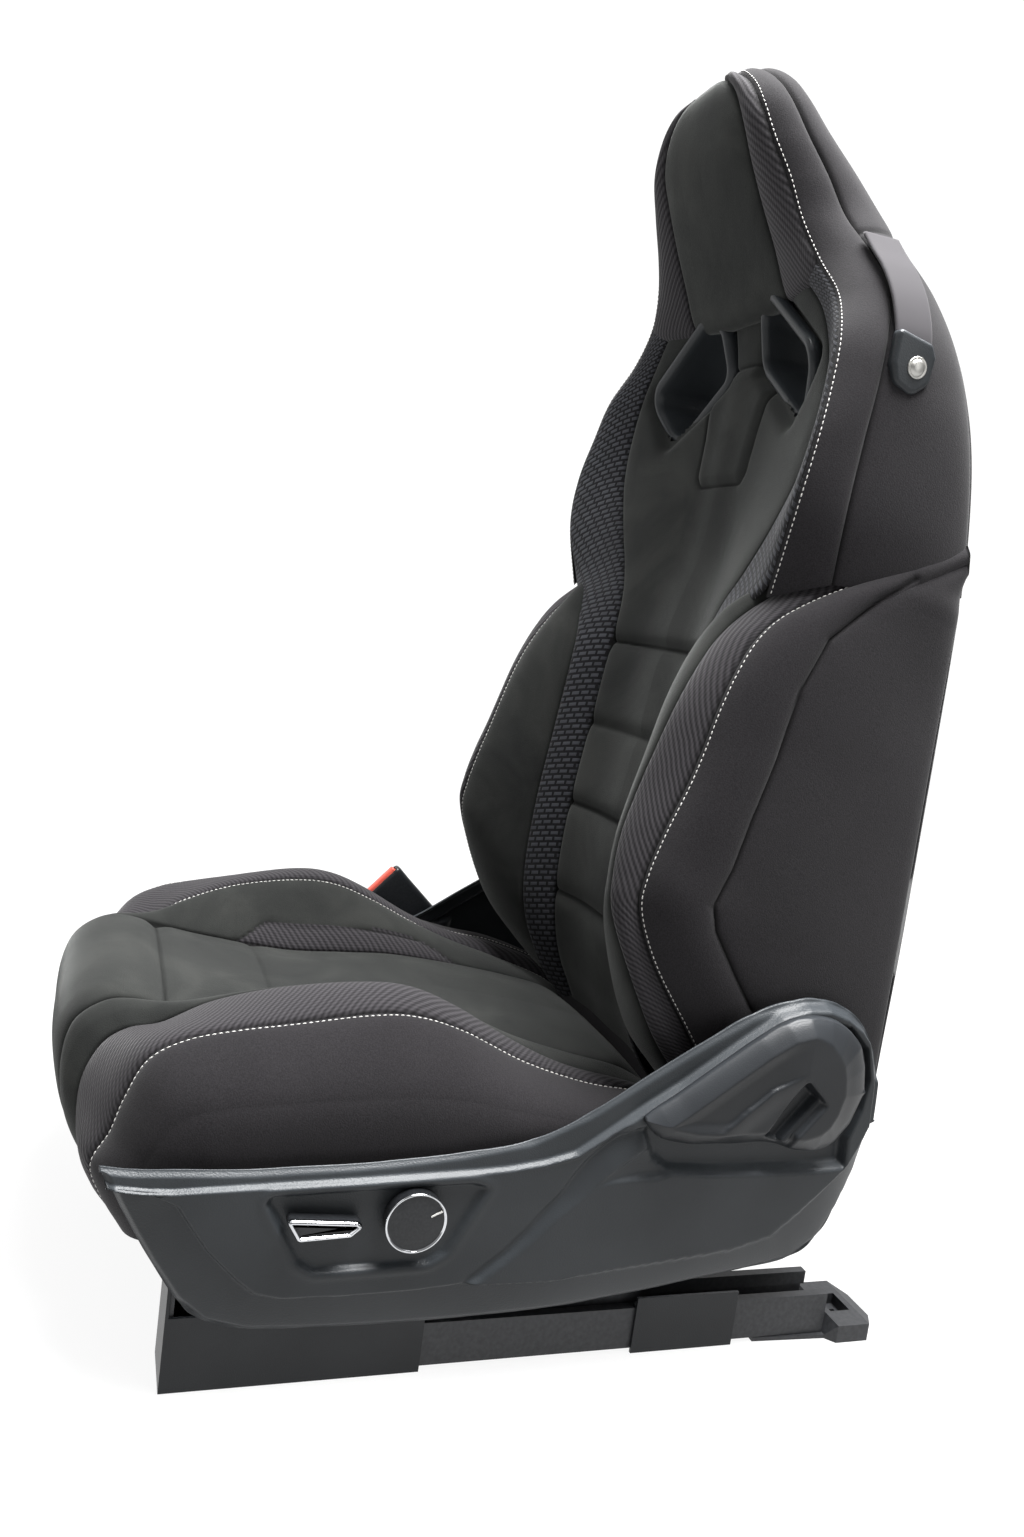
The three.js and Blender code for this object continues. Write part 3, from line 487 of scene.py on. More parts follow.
# ---------- Lower bolsters: foam wings with a suede face, a twill edge and a plain side ----------
# Each wing holds the ribs. Suede faces the sitter, a band of twill covers the front edge between a
# plain seam and a white topstitched one, and dark cloth goes round the side to the rear panel.
twill, node, math_node, bump, ramp, join = new_material(
    "twill", (0.03, 0.028, 0.031), 0.85, Sheen_Weight=0.1, Specular_IOR_Level=0.15
)
point = node("SeparateXYZ", {"Vector": cloth_uv(node)})
wander = node("TexNoise", {"Vector": cloth_uv(node)}, in_Scale=60, in_Detail=2)
slant = math_node("ADD", math_node("MULTIPLY", point.outputs["X"], 1.3), point.outputs["Y"])
slant = math_node("ADD", slant, math_node("MULTIPLY", wander.outputs["Fac"], 0.003))
rib = math_node("SINE", math_node("MULTIPLY", slant, 2 * math.pi / 0.0062))
cross = math_node("SINE", math_node("MULTIPLY", point.outputs["X"], 2 * math.pi / 0.0028))
weave = math_node("ADD", math_node("MULTIPLY", rib, 0.36), math_node("MULTIPLY", cross, 0.14))
tone = math_node("ADD", weave, 0.5)
tones = ramp(tone, [(0.1, (0.011, 0.01, 0.0115)), (0.9, (0.037, 0.0345, 0.038))])
# Painted shade darkens the twill in its seam creases.
join(painted_crease_shade(node, math_node, tones), "Base Color")
join(bump(tone, 0.5, 0.0011), "Normal")

cloth, node, math_node, bump, ramp, join = new_material(
    "plain_cloth", (0.022, 0.0205, 0.0225), 0.92, Sheen_Weight=0.1, Specular_IOR_Level=0.12
)
cloth_point = object_point(node)
fleck = node("TexNoise", {"Vector": cloth_point}, in_Scale=900, in_Detail=2)
shade = node("TexNoise", {"Vector": cloth_point}, in_Scale=9, in_Detail=2)
tone = math_node(
    "ADD", math_node("MULTIPLY", fleck.outputs["Fac"], 0.7), math_node("MULTIPLY", shade.outputs["Fac"], 0.3)
)
tones = ramp(tone, [(0.35, (0.0095, 0.0087, 0.0098)), (0.65, (0.0185, 0.0172, 0.019))])
# Painted shade darkens the plain cloth in its seam creases.
join(painted_crease_shade(node, math_node, tones), "Base Color")
join(bump(fleck.outputs["Fac"], 0.35, 0.0006), "Normal")

WING_LEVELS = (214, 240, 280, 310, 340, 370, 400, 435, 470, 505, 535, 562, 588, 608, 625, 640, 655, 672)
wing_rails = [
    [
        (130, 154, 198), (128, 132, 222), (129, 112, 245), (130, 97, 280), (130, 90, 320), (130, 91, 365),
        (130, 94, 410), (130, 99, 455), (131, 104, 495), (132, 110, 540), (138, 117, 575), (150, 124, 602),
        (166, 132, 625), (186, 148, 640), (205, 175, 648), (215, 205, 655), (220, 240, 665), (222, 280, 680),
    ],
    [
        (214, 142, 206), (222, 112, 236), (231, 80, 275), (226, 52, 330), (217, 37, 372), (210, 37, 401),
        (203, 42, 432), (200, 51, 465), (200, 61, 499), (200, 73, 535), (198, 87, 566), (195, 104, 594),
        (196, 124, 617), (206, 147, 638), (224, 166, 651), (241, 190, 662), (250, 226, 678), (252, 282, 702),
    ],
    [
        (230, 166, 210), (235, 138, 240), (236, 105, 285), (236, 70, 336), (235, 52, 378), (235, 53, 405),
        (235, 63, 441), (235, 77, 479), (235, 86, 510), (235, 93, 540), (235, 102, 568), (235, 115, 596),
        (237, 131, 616), (241, 158, 635), (246, 185, 650), (250, 212, 663), (253, 242, 679), (254, 283, 697),
    ],
    [
        (250, 210, 212), (256, 190, 240), (258, 166, 285), (260, 138, 325), (261, 114, 360), (262, 104, 388),
        (262, 112, 415), (262, 124, 460), (262, 133, 495), (261, 141, 525), (260, 150, 560), (259, 160, 590),
        (258, 175, 615), (258, 196, 632), (259, 214, 644), (260, 232, 655), (259, 255, 667), (256, 285, 682),
    ],
    [(256 if z < 650 else 253, 288, z) for z in WING_LEVELS],
    [(205, 286, z) for z in WING_LEVELS],
]
SIDE_SEAM = [
    (305, 154), (334, 133), (370, 109), (390, 103), (419, 114), (460, 124), (509, 138), (565, 150),
    (607, 169), (643, 208), (663, 237),
]
wing = Cover(
    wing_rails + [wing_rails[0]], [20, 12, 16, 56, 6, 8], 230, seams={0, 1, 2, 4, 5}, roll=3.0,
    crown=[5, 1, 4, 2, 0, 0],
)
_, y, z = wing.mm()
side_gap = line_gap(y, z, [(b + DATUM_Y, a) for a, b in SIDE_SEAM])
wing.stitch_down(side_gap, np.tile(np.isin(wing.span, (2, 3)), (230, 1)), roll=1.6, roll_width=4)
wing.ripple(0.09, 0.0013, 9.7)

for side, sign in SIDES:
    bm = bmesh.new()
    skin_mesh(bm, wing, [0, 1, 2, 2, 2, 2])
    weld(bm, WELD / 4)
    cap_holes(bm)
    bmesh.ops.scale(bm, vec=(sign, 1, 1), verts=bm.verts[:])
    face_out(bm)
    replaced = [f"back_bolster_{side}"]
    finish_piece(f"back_wing_{side}", bm, [suede, twill, cloth], "backrest", replaced)

# ---------- Shoulders and head sides: one plain cover from the wings over the top ----------
# Dark cloth wraps the shoulder foam and the sides and rear of the fixed head. It starts at the white
# topstitched edge, has one plain seam down its side, and ends round a small opening on top of the head.
EDGE_STITCH = [
    (213, 134, 634), (240, 129, 702), (246, 134, 755), (238, 144, 803), (226, 152, 841), (194, 164, 879),
    (158, 163, 914), (136, 153, 950), (125, 142, 984), (113, 128, 1017), (101, 119, 1046), (84, 117, 1066),
    (60, 117, 1082), (36, 121, 1089),
]
upper_rails = [
    EDGE_STITCH,
    [
        (246, 172, 650), (257, 168, 705), (258, 172, 760), (256, 178, 805), (248, 184, 846),
        (226, 192, 886), (190, 192, 922), (158, 184, 955), (142, 172, 988), (128, 156, 1020),
        (113, 144, 1050), (95, 138, 1070), (70, 134, 1085), (40, 131, 1091),
    ],
    [
        (255, 288, 655), (255, 284, 705), (253, 276, 760), (248, 266, 805), (238, 254, 846),
        (212, 246, 886), (178, 238, 924), (150, 226, 960), (134, 204, 994), (118, 182, 1026),
        (102, 166, 1054), (85, 156, 1073), (60, 147, 1086), (34, 138, 1090),
    ],
    [
        (150, 305, 655), (150, 312, 705), (150, 310, 760), (145, 300, 805), (135, 286, 850), (118, 272, 892),
        (100, 262, 930), (86, 246, 966), (76, 224, 1000), (66, 202, 1032), (56, 184, 1058), (46, 170, 1075),
        (32, 156, 1086), (18, 143, 1090),
    ],
    [
        (0, 312, 655), (0, 320, 705), (0, 318, 760), (0, 308, 805), (0, 294, 850), (0, 280, 892),
        (0, 268, 930), (0, 252, 966), (0, 230, 1000), (0, 208, 1032), (0, 190, 1058), (0, 174, 1075),
        (0, 159, 1086), (0, 145, 1090),
    ],
]
upper = Cover(upper_rails, [20, 26, 24, 24], 260, seams={0, 1, 2}, roll=2.6, crown=[1, 3, 0, 0])
_, y, z = upper.mm()
behind_edge = np.tile(np.array(upper.span) > 0, (260, 1))
upper.stitch_down(np.abs(z - 938 - 0.1 * (y - 200)), behind_edge, roll=2)
upper.ripple(0.09, 0.0014, 5.5)
left = open_slot(upper)
bm = bmesh.new()
skin_mesh(bm, upper, [0, 0, 0, 0], keep=left)
mirror_and_weld(bm)
finish_piece(
    "upper_cover", bm, [cloth], "backrest",
    ["shoulder_bolster_left", "shoulder_bolster_right"],
)

# ---------- Head front: a suede panel between two twill ones ----------
# The fixed head has a suede face that overhangs the neck, and a band of twill on each side of it up
# to the white topstitched edge.
head_rails = [
    [
        (0, 203, 902), (0, 188, 899), (0, 178, 908), (0, 166, 935), (0, 146, 972), (0, 130, 1005),
        (0, 118, 1036), (0, 113, 1062), (0, 114, 1080), (0, 121, 1089),
    ],
    [
        (86, 196, 904), (87, 184, 900), (88, 175, 910), (87, 162, 938), (84, 145, 972), (81, 130, 1005),
        (78, 118, 1036), (66, 113, 1062), (46, 113, 1080), (24, 120, 1088),
    ],
    [
        (158, 172, 906), (160, 168, 906), (158, 163, 914), (141, 156, 942), (129, 146, 973), (117, 132, 1007),
        (104, 120, 1040), (84, 116, 1066), (60, 117, 1082), (36, 121, 1089),
    ],
]
head = Cover(head_rails, [26, 20], 110, seams={1, 2}, roll=2.6, crown=[2, 3])
head.ripple(0.07, 0.0012, 1.3)
bm = bmesh.new()
skin_mesh(bm, head, [0, 1])
mirror_and_weld(bm)
finish_piece("head_front", bm, [suede, twill], "backrest", ["head_pad"])

# ---------- Harness slots: a rounded frame and a tunnel through the back ----------
# Each moulded frame has a lip on the front and another on the rear, and guides a belt through.
plastic, node, math_node, bump, ramp, join = new_material(
    "grained_plastic", (0.026, 0.028, 0.031), 0.38, Specular_IOR_Level=0.26
)
grain_point = object_point(node)
grain = node("TexVoronoi", {"Vector": grain_point}, in_Scale=900, feature="SMOOTH_F1")
worn = node("TexNoise", {"Vector": grain_point}, in_Scale=12, in_Detail=3)


def painted_top_light(node, math_node, colour):
    """Makes a plastic's colour paler where its surface faces up, as painted light from above."""
    up = node("SeparateXYZ", {0: node("NewGeometry").outputs["Normal"]}).outputs["Z"]
    share = math_node("MULTIPLY", math_node("MAXIMUM", math_node("SUBTRACT", up, 0.1), 0.0), 1.7)
    return node("VectorMath", {0: colour, 1: math_node("ADD", share, 1.0)}, operation="MULTIPLY").outputs[0]


tones = ramp(worn.outputs["Fac"], [(0.3, (0.014, 0.016, 0.018)), (0.7, (0.021, 0.0235, 0.026))])
# Up-facing faces are painted paler, as painted light from above.
join(painted_top_light(node, math_node, tones), "Base Color")
join(bump(grain.outputs["Distance"], 0.3, 0.0005), "Normal")

# How far out from the slot's edge, how far off the surface, and which one: 0 the front, 1 the rear.
SLOT_PROFILE = [
    (11, -7, 0), (10.4, -1, 0), (9, 2.6, 0), (6.5, 4.2, 0), (3, 4.2, 0), (0.6, 2, 0), (-1, -3, 0),
    (-1.4, -25, 0), (-1.4, -20, 1), (-1, -3, 1), (0.6, 1, 1), (3, 3, 1), (6.5, 3, 1), (9, 1, 1),
    (10, -5, 1), (4, -12, 1), (3, -30, 0), (4, -14, 0),
]


def spread(ring, step):
    """The same closed outline with points at even steps."""
    ring = np.vstack([ring, ring[:1]])
    lengths = np.concatenate([[0], np.cumsum(np.linalg.norm(np.diff(ring, axis=0), axis=1))])
    at = np.linspace(0, lengths[-1], max(12, int(lengths[-1] / step)) + 1)[:-1]
    return np.stack([np.interp(at, lengths, ring[:, k]) for k in (0, 1)], axis=1)


def outward(ring):
    """The outward direction at each point of a closed outline."""
    tangent = np.roll(ring, -1, axis=0) - np.roll(ring, 1, axis=0)
    side = unit(np.stack([tangent[:, 1], -tangent[:, 0]], axis=1))
    area = np.sum(ring[:, 0] * np.roll(ring[:, 1], -1) - ring[:, 1] * np.roll(ring[:, 0], -1))
    return side if area > 0 else -side


def close_rings(rings):
    """Joins each ring's end to its start, ready to be laid as a grid."""
    rings = np.array(rings, float)
    return np.concatenate([rings, rings[:, :1]], axis=1)


def tilt_of(corners):
    """The plane y = a + b x + c z nearest to the corners."""
    p = np.array(corners, float)
    fit, *_ = np.linalg.lstsq(np.stack([np.ones(len(p)), p[:, 0], p[:, 2]], axis=1), p[:, 1], rcond=None)
    return lambda u, v: fit[0] + fit[1] * u + fit[2] * v


def rear_corner(u, v):
    """The point of the rear cover behind (u, v)."""
    x, y, z = upper.mm()
    gap = np.hypot(x - u, z - v) + np.where(y > 240, 0, 1e6)
    at = np.unravel_index(np.argmin(gap), gap.shape)
    return u, y[at], v


front_of = tilt_of([(x, y + DATUM_Y, z) for x, y, z in SLOT])
rear_of = tilt_of([rear_corner(u, v) for u, v in SLOT_XZ])
slot_ring = spread(rounded(SLOT_XZ, 17, 10), 2.0)
rings = []
for u, v, rear in SLOT_PROFILE + SLOT_PROFILE[:1]:
    x, z = (slot_ring + outward(slot_ring) * u).T
    y = rear_of(x, z) + v if rear else front_of(x, z) - v
    rings.append(np.stack([x, y, z], axis=1) / 1000)
for side, sign in SIDES:
    bm = bmesh.new()
    lay(bm, close_rings(rings) * (sign, 1, 1))
    weld(bm, 0.00002)
    face_out(bm)
    finish_piece(f"slot_frame_{side}", bm, [plastic], "backrest", [f"slot_bezel_{side}"])

# ---------- Rear panel: a bowed board in dark cloth ----------
# It closes the rear of the back between the wings, and is sewn round its border.
PANEL_HALF, PANEL_LOW, PANEL_TOP = 238, 214, 672
PANEL_Y, PANEL_BOW, PANEL_BOW_HALF = 304, 24, 262
PANEL_WALL, BORDER_SEAM = 0.006, 32
u, v = np.meshgrid(np.linspace(-1, 1, 110), np.linspace(0, 1, 110))
x = u * (PANEL_HALF - 8 * (1 - v) ** 2)
z = PANEL_LOW + (PANEL_TOP - PANEL_LOW) * v
inward = depth_in(x, z, box(PANEL_HALF, PANEL_LOW, PANEL_TOP))
y = PANEL_Y + PANEL_BOW * (1 - (x / PANEL_BOW_HALF) ** 2)
y = y - 12 * (1 - rise(inward, -2, 16)) + 2.5 * rise(inward, 30, 60)
y -= 8 * rise(z, 640, 668)
border_crease = np.exp(-(((inward - BORDER_SEAM) / 2.2) ** 2))
y -= 2.2 * border_crease
bm = bmesh.new()
# The border crease gets painted shade in the cloth.
lay(bm, np.stack([x, y, z], axis=2) / 1000, crease=border_crease)
face_out(bm)
rear_panel = finish_piece("rear_panel", bm, [cloth], "backrest", ["back_panel"])
thicken(rear_panel, PANEL_WALL, 1 if rear_panel.data.polygons[0].normal.y < 0 else -1)

# ---------- Belt guide: a strap over the shoulder with a snap tab ----------
# The strap is sewn in at the seam below the head, and a stud on the shoulder holds its moulded tab.
STRAP_LINE = [(187, 934), (202, 919), (222, 900), (240, 877), (252, 852), (257, 830)]
STRAP_Y, STRAP_HALF, STRAP_THICK = 216, 17, 3.2
GUIDE_Y, GUIDE_Z = 214, 828


def outline_loft(bm, rings, slots=None):
    """A closed solid through rings of points, with a material slot for each band between two rings."""
    table = close_rings(rings)
    bands = slots or [0] * (len(rings) - 1)
    lay(bm, table, np.repeat(np.array(bands)[:, None], table.shape[1] - 1, axis=1))
    weld(bm, 0.000005)
    last = Vector(table[-1].mean(axis=0))
    for f in cap_holes(bm):
        f.material_index = bands[-1] if (f.calc_center_median() - last).length < 0.002 else bands[0]
    face_out(bm)


def plate_rings(ring, levels):
    """Rings for a plate lying across X: each level is (x in mm, how far inside the outline)."""
    out = outward(ring)
    rings = []
    for x, inset in levels:
        at = ring - out * inset
        rings.append(np.stack([np.full(len(at), x), at[:, 0], at[:, 1]], axis=1) / 1000)
    return rings


line = smooth_line([(x, STRAP_Y - DATUM_Y, z) for x, z in STRAP_LINE], 40)
tangent = unit(np.gradient(line, axis=0))
side = np.array([0.0, 1.0, 0.0])
section = spread(rounded(box(STRAP_HALF, -STRAP_THICK / 2, STRAP_THICK / 2), 1.5, 3), 1.6)
rings = []
for at, along in zip(line, tangent):
    out = unit(np.cross(side, along))
    if out[0] < 0:
        out = -out
    rings.append([at + (side * a + out * b) / 1000 for a, b in section])
bm = bmesh.new()
outline_loft(bm, rings)
finish_piece("guide_strap", bm, [twill], "belt_guide", ["belt_guide_strap"])

TAB = [(-17, 19), (15, 12), (20, 2), (17, -19), (3, -29), (-13, -22), (-18, -8)]
ring = spread(rounded([(GUIDE_Y + a, GUIDE_Z + b) for a, b in TAB], [4, 5, 6, 9, 9, 9, 6], 6), 1.5)
bm = bmesh.new()
outline_loft(bm, plate_rings(ring, [(254, 1.5), (255, 0), (261, 0), (262.6, 0.8), (263.4, 2.4), (263.6, 4)]))
finish_piece("guide_tab", bm, [plastic], "belt_guide", ["belt_guide_tab"])

zinc, node, math_node, bump, ramp, join = new_material("zinc_plate", (0.42, 0.42, 0.41), 0.38, 1.0)
bloom = node("TexNoise", {"Vector": object_point(node)}, in_Scale=60, in_Detail=4)
join(ramp(bloom.outputs["Fac"], [(0.3, (0.3, 0.3, 0.29)), (0.7, (0.5, 0.49, 0.46))]), "Base Color")


def disc_rings(centre, levels, count=48):
    """Rings for a round piece facing along X: each level is (x in mm, radius)."""
    turn = np.linspace(0, 2 * math.pi, count, endpoint=False)
    rings = []
    for x, r in levels:
        y, z = centre[0] + r * np.cos(turn), centre[1] + r * np.sin(turn)
        rings.append(np.stack([np.full(count, x), y, z], axis=1) / 1000)
    return rings


bm = bmesh.new()
stud_levels = [
    (263, 8.6), (264.6, 8.4), (265, 7.6), (264.2, 6.8), (264.4, 6.2), (265.8, 5.6), (266.4, 3.6), (266.6, 1),
]
outline_loft(bm, disc_rings((GUIDE_Y + 3, GUIDE_Z - 8), stud_levels, 32))
finish_piece("guide_stud", bm, [zinc], "belt_guide")

# ---------- Cushion: suede middle and nose, suede faces, twill edges and plain sides ----------
# One foam pad in a sewn cover. The middle rolls over a deep nose at the front, and the side bolsters
# rise beside the thighs and fall away to the rear. A strip of twill is let in along the middle.
cushion_centre = [
    (0, -330, 112), (0, -354, 138), (0, -369, 170), (0, -374, 208), (0, -368, 240), (0, -347, 257),
    (0, -319, 259), (0, -285, 251), (0, -240, 242), (0, -165, 231), (0, -105, 230), (0, -49, 229),
    (0, 25, 219), (0, 80, 209), (0, 120, 198), (0, 148, 178), (0, 160, 158),
]
cushion_rails = [
    cushion_centre,
    [(60, y, z - 1) for _, y, z in cushion_centre],
    [(116, y + (6 if i < 6 else 0), z - 5) for i, (_, y, z) in enumerate(cushion_centre)],
    [
        (150, -322, 114), (150, -340, 140), (148, -351, 170), (145, -352, 200), (142, -340, 226),
        (141, -322, 238), (143, -298, 243), (150, -262, 264), (160, -214, 280), (167, -155, 288),
        (168, -112, 286), (168, -72, 271), (172, -22, 245), (176, 20, 226), (176, 75, 208),
        (164, 142, 186), (150, 158, 166),
    ],
    [
        (205, -318, 116), (210, -334, 142), (213, -342, 166), (215, -331, 190), (215, -323, 216),
        (215, -309, 245), (215, -283, 260), (215, -246, 268), (215, -208, 273), (215, -148, 281),
        (214, -112, 280), (213, -73, 268), (211, -18, 241), (210, 40, 222), (208, 91, 213),
        (200, 145, 196), (192, 160, 176),
    ],
    [
        (238, -298, 118), (243, -306, 142), (247, -310, 163), (250, -304, 182), (252, -296, 198),
        (254, -284, 214), (257, -265, 222), (259, -236, 226), (260, -200, 229), (260, -148, 232),
        (260, -112, 232), (260, -73, 228), (260, -18, 216), (258, 40, 206), (254, 91, 198),
        (242, 145, 184), (234, 160, 170),
    ],
    [
        (236, -290, 112), (244, -292, 122), (250, -290, 134), (254, -286, 146), (257, -278, 155),
        (259, -268, 160), (261, -255, 164), (262, -232, 166), (262, -200, 167), (262, -148, 168),
        (262, -112, 168), (262, -73, 168), (262, -18, 168), (260, 40, 168), (256, 91, 168),
        (244, 145, 168), (236, 160, 160),
    ],
]
cushion = Cover(cushion_rails, [16, 16, 30, 16, 20, 10], 300, seams={2, 3, 4}, crown=[0, 0, 2, 2, 3, 0])
x, y, z = cushion.mm()
span = np.tile(np.array(cushion.span), (300, 1))
on_top = (span < 2) & (z > 200)
for at, depth in ((-276 - DATUM_Y / 7, 0.004), (-183, 0.002)):
    cushion.lift -= np.where(on_top, depth * np.exp(-(((y - at) / 8) ** 2)), 0)
    cushion.stitch_down(np.abs(y - at), on_top, roll=0, crease=0.0012)
from_middle = (cushion.across - cushion.across[:, cushion.rail_column[2] : cushion.rail_column[2] + 1]) * 1000
let_in = 26 * rise(y, -205, -165) * (1 - rise(y, -10, 45)) - from_middle
cushion.stitch_down(np.abs(let_in), (span == 2) & (y > -205) & (y < 45), roll=1.2)
cushion.ripple(0.09, 0.002, 7.7)
slot = np.array([0, 0, 0, 1, 2, 2])[span]
slot = np.where((span == 2) & (let_in > 0) & (from_middle >= 0), 1, slot)
bm = bmesh.new()
skin_mesh(bm, cushion, None, slot=slot)
mirror_and_weld(bm)
finish_piece(
    "cushion_cover", bm, [suede, twill, cloth], "seat_base",
    ["cushion_insert", "cushion_bolster_left", "cushion_bolster_right"],
)

# ---------- Flap: cloth between the cushion and the back ----------
# It hangs from the lower edge of the back to the rear of the cushion, as one fixed sheet tied to no body.
FLAP_HALF, FLAP_LOW, FLAP_HIGH = 232, (156, 168), (180, 222)
u, v = np.meshgrid(np.linspace(-1, 1, 60), np.linspace(0, 1, 16))
sag = 3 * np.sin(np.pi * v) + 0.8 * np.sin(9 * u + 4 * v)
table = np.stack(
    [
        u * FLAP_HALF,
        FLAP_LOW[0] + (FLAP_HIGH[0] - FLAP_LOW[0]) * v + sag,
        FLAP_LOW[1] + (FLAP_HIGH[1] - FLAP_LOW[1]) * v,
    ],
    axis=2,
)
bm = bmesh.new()
lay(bm, table / 1000)
face_along(bm, 1, -1)
flap = make_object("flap", bm, [cloth])
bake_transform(flap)

# ---------- Topstitching ----------
# White bonded thread, in stitches of about three millimetres, holds the seam allowances flat.
thread, node, math_node, bump, ramp, join = new_material("thread", (0.55, 0.54, 0.52), 0.7)
strand = node("TexWave", {"Vector": object_point(node)}, in_Scale=900, in_Distortion=2)
join(ramp(strand.outputs["Fac"], [(0.0, (0.42, 0.41, 0.39)), (1.0, (0.62, 0.61, 0.59))]), "Base Color")
STITCH_PITCH = 0.0047
STITCH_LENGTH = 0.0034
STITCH_RADIUS = 0.0005
STITCHES_AT_ONCE = 60


def sew(batches, line, normals, sign):
    """Lays stitches end to end along a line, each sunk halfway into the cloth."""
    lengths = np.concatenate([[0], np.cumsum(np.linalg.norm(np.diff(line, axis=0), axis=1))])
    for i, at in enumerate(np.arange(STITCH_PITCH, lengths[-1] - 3 * STITCH_PITCH, STITCH_PITCH)):
        if i % STITCHES_AT_ONCE == 0:
            batches.append(bmesh.new())
        here = Vector([np.interp(at, lengths, line[:, k]) for k in range(3)])
        ahead = Vector([np.interp(at + STITCH_LENGTH / 2, lengths, line[:, k]) for k in range(3)])
        up = Vector([np.interp(at, lengths, normals[:, k]) for k in range(3)]).normalized()
        forward = (ahead - here).normalized()
        side = forward.cross(up).normalized()
        turn = Matrix((side, forward, side.cross(forward))).transposed().to_4x4()
        place = Matrix.Translation(here + up * 0.0002) @ turn
        shape = Matrix.Diagonal((STITCH_RADIUS, STITCH_LENGTH / 2, STITCH_RADIUS, 1))
        shape = Matrix.Diagonal((sign, 1, 1, 1)) @ place @ shape
        bmesh.ops.create_uvsphere(batches[-1], u_segments=6, v_segments=5, radius=1, matrix=shape)


def sewn(name, lines, body):
    """Sews each line on the sides named by their signs: 1 for the left, -1 for the right."""
    batches = []
    for (line, normals), signs in lines:
        for sign in signs:
            sew(batches, line, normals, sign)
    bm = bmesh.new()
    for batch in batches:
        face_out(batch)
        part = bpy.data.meshes.new("stitches")
        batch.to_mesh(part)
        batch.free()
        bm.from_mesh(part)
        bpy.data.meshes.remove(part)
    for f in bm.faces:
        f.smooth = True
    return finish_piece(name, bm, [thread], body)


BOTH, RIGHT = (1, -1), (-1,)
sewn(
    "back_stitches",
    [(upper.beside(0, 3.5), BOTH), (wing.beside(2, 3.5), BOTH), (wing.beside(1, -3.5), RIGHT)],
    "backrest",
)
sewn("cushion_stitches", [(cushion.beside(4, 3.5), BOTH), (cushion.beside(3, -3.5), RIGHT)], "seat_base")

# ---------- Side shields: sculpted covers over the hinge and the lift ----------
# A set-back band runs under the cushion and up round the hinge, over a ridge. Below it are a raised panel
# with the switches, a slope up to a flat rear panel, a well for the lever, and a tucked lower edge.
SHIELD_TOP = [
    (-324, 192), (-300, 189), (-270, 188), (-240, 187), (-215, 187), (-190, 188), (-150, 189), (-119, 191),
    (-65, 196), (-13, 205), (32, 226), (79, 257), (126, 287), (160, 307), (195, 319), (225, 320), (250, 311),
    (267, 297), (280, 277), (288, 255),
]
SHIELD_LOW = [
    (-321, 186), (-308, 160), (-297, 140), (-284, 118), (-264, 88), (-244, 70), (-214, 61), (-158, 58),
    (-101, 57), (-37, 58), (26, 61), (70, 66), (110, 71), (147, 77), (195, 84), (236, 92), (260, 110),
    (274, 138), (284, 172), (289, 211),
]
RIDGE = [
    (-330, 179), (-292, 174), (-274, 173), (-145, 177), (-56, 181), (-30, 183), (-3, 187), (23, 194),
    (48, 211), (78, 232), (104, 249), (130, 268), (156, 287), (183, 306), (206, 313), (225, 313),
    (242, 307), (257, 297), (266, 287), (272, 270), (277, 250), (279, 214),
]
PANEL_LINE = [
    (-288, 173), (-271, 165), (-248, 131), (-225, 107), (-212, 96), (-193, 91), (-145, 90), (-95, 91),
    (-57, 94),
]
SWEEP_TOP = [
    (-57, 94), (-45, 104), (-26, 120), (-10, 137), (1, 151), (13, 164), (22, 179), (31, 191), (41, 201),
    (53, 210), (66, 216), (75, 218),
]
SWEEP_LOW = [
    (-57, 92), (-43, 98), (-24, 112), (-5, 129), (12, 146), (29, 160), (41, 172), (54, 183), (74, 197),
]
LOWER_CREASE = [
    (-57, 92), (11, 93), (66, 100), (123, 106), (168, 111), (203, 121), (225, 140), (249, 163), (264, 179),
    (273, 197), (279, 214),
]
SHELF = [
    (29, 161), (41, 171), (54, 175), (77, 177), (99, 178), (92, 188), (80, 200), (74, 197), (54, 183),
    (41, 172),
]
LEVER_WELL = [
    (74, 216), (80, 202), (86, 191), (99, 181), (141, 178), (187, 178), (234, 178), (264, 180), (262, 205),
    (270, 230), (273, 256), (266, 283), (246, 301), (212, 306), (183, 297), (155, 277), (129, 259),
    (102, 240), (80, 225),
]
SWITCH_WINDOW = [(-214, 171), (-58, 176), (-45, 172), (-73, 120), (-86, 112), (-171, 110), (-184, 118)]
ALL_ABOVE = [(340, 214), (340, 400), (-360, 400), (-360, 180)]  # past the shield's edges
ALL_BELOW = [(340, 214), (340, 0), (-360, 0), (-360, 180)]
ALL_BEHIND = [(340, 197), (340, 0), (-57, 0)]
FACE_X, BAND_X, SHIELD_EDGE_X, WELL_X, WINDOW_X = 287.5, 277, 271, 276, 279
SKIRT_DROP, PANEL_RISE, SWEEP_DROP = 8, 4.5, 6
SHIELD_WALL = 0.0025
HINGE_AT, HINGE_HOLE = (210, 254), 16


def between(samples, low, high, steps):
    """A table of (u, v) points filling the space between two lines with the same number of corners."""
    lines = []
    for corners in (low, high):
        lines.append(smooth_line([(0, u - DATUM_Y, v) for u, v in corners], samples)[:, 1:] * 1000)
    share = np.linspace(0, 1, steps)[:, None, None]
    return lines[0][None] * (1 - share) + lines[1][None] * share


def soften(table):
    """Evens out each value with its eight neighbours."""
    wide = np.pad(table, 1, mode="edge")
    beside = wide[:-2, 1:-1] + wide[2:, 1:-1] + wide[1:-1, :-2] + wide[1:-1, 2:]
    corners = wide[:-2, :-2] + wide[:-2, 2:] + wide[2:, :-2] + wide[2:, 2:]
    return (4 * table + 2 * beside + corners) / 16


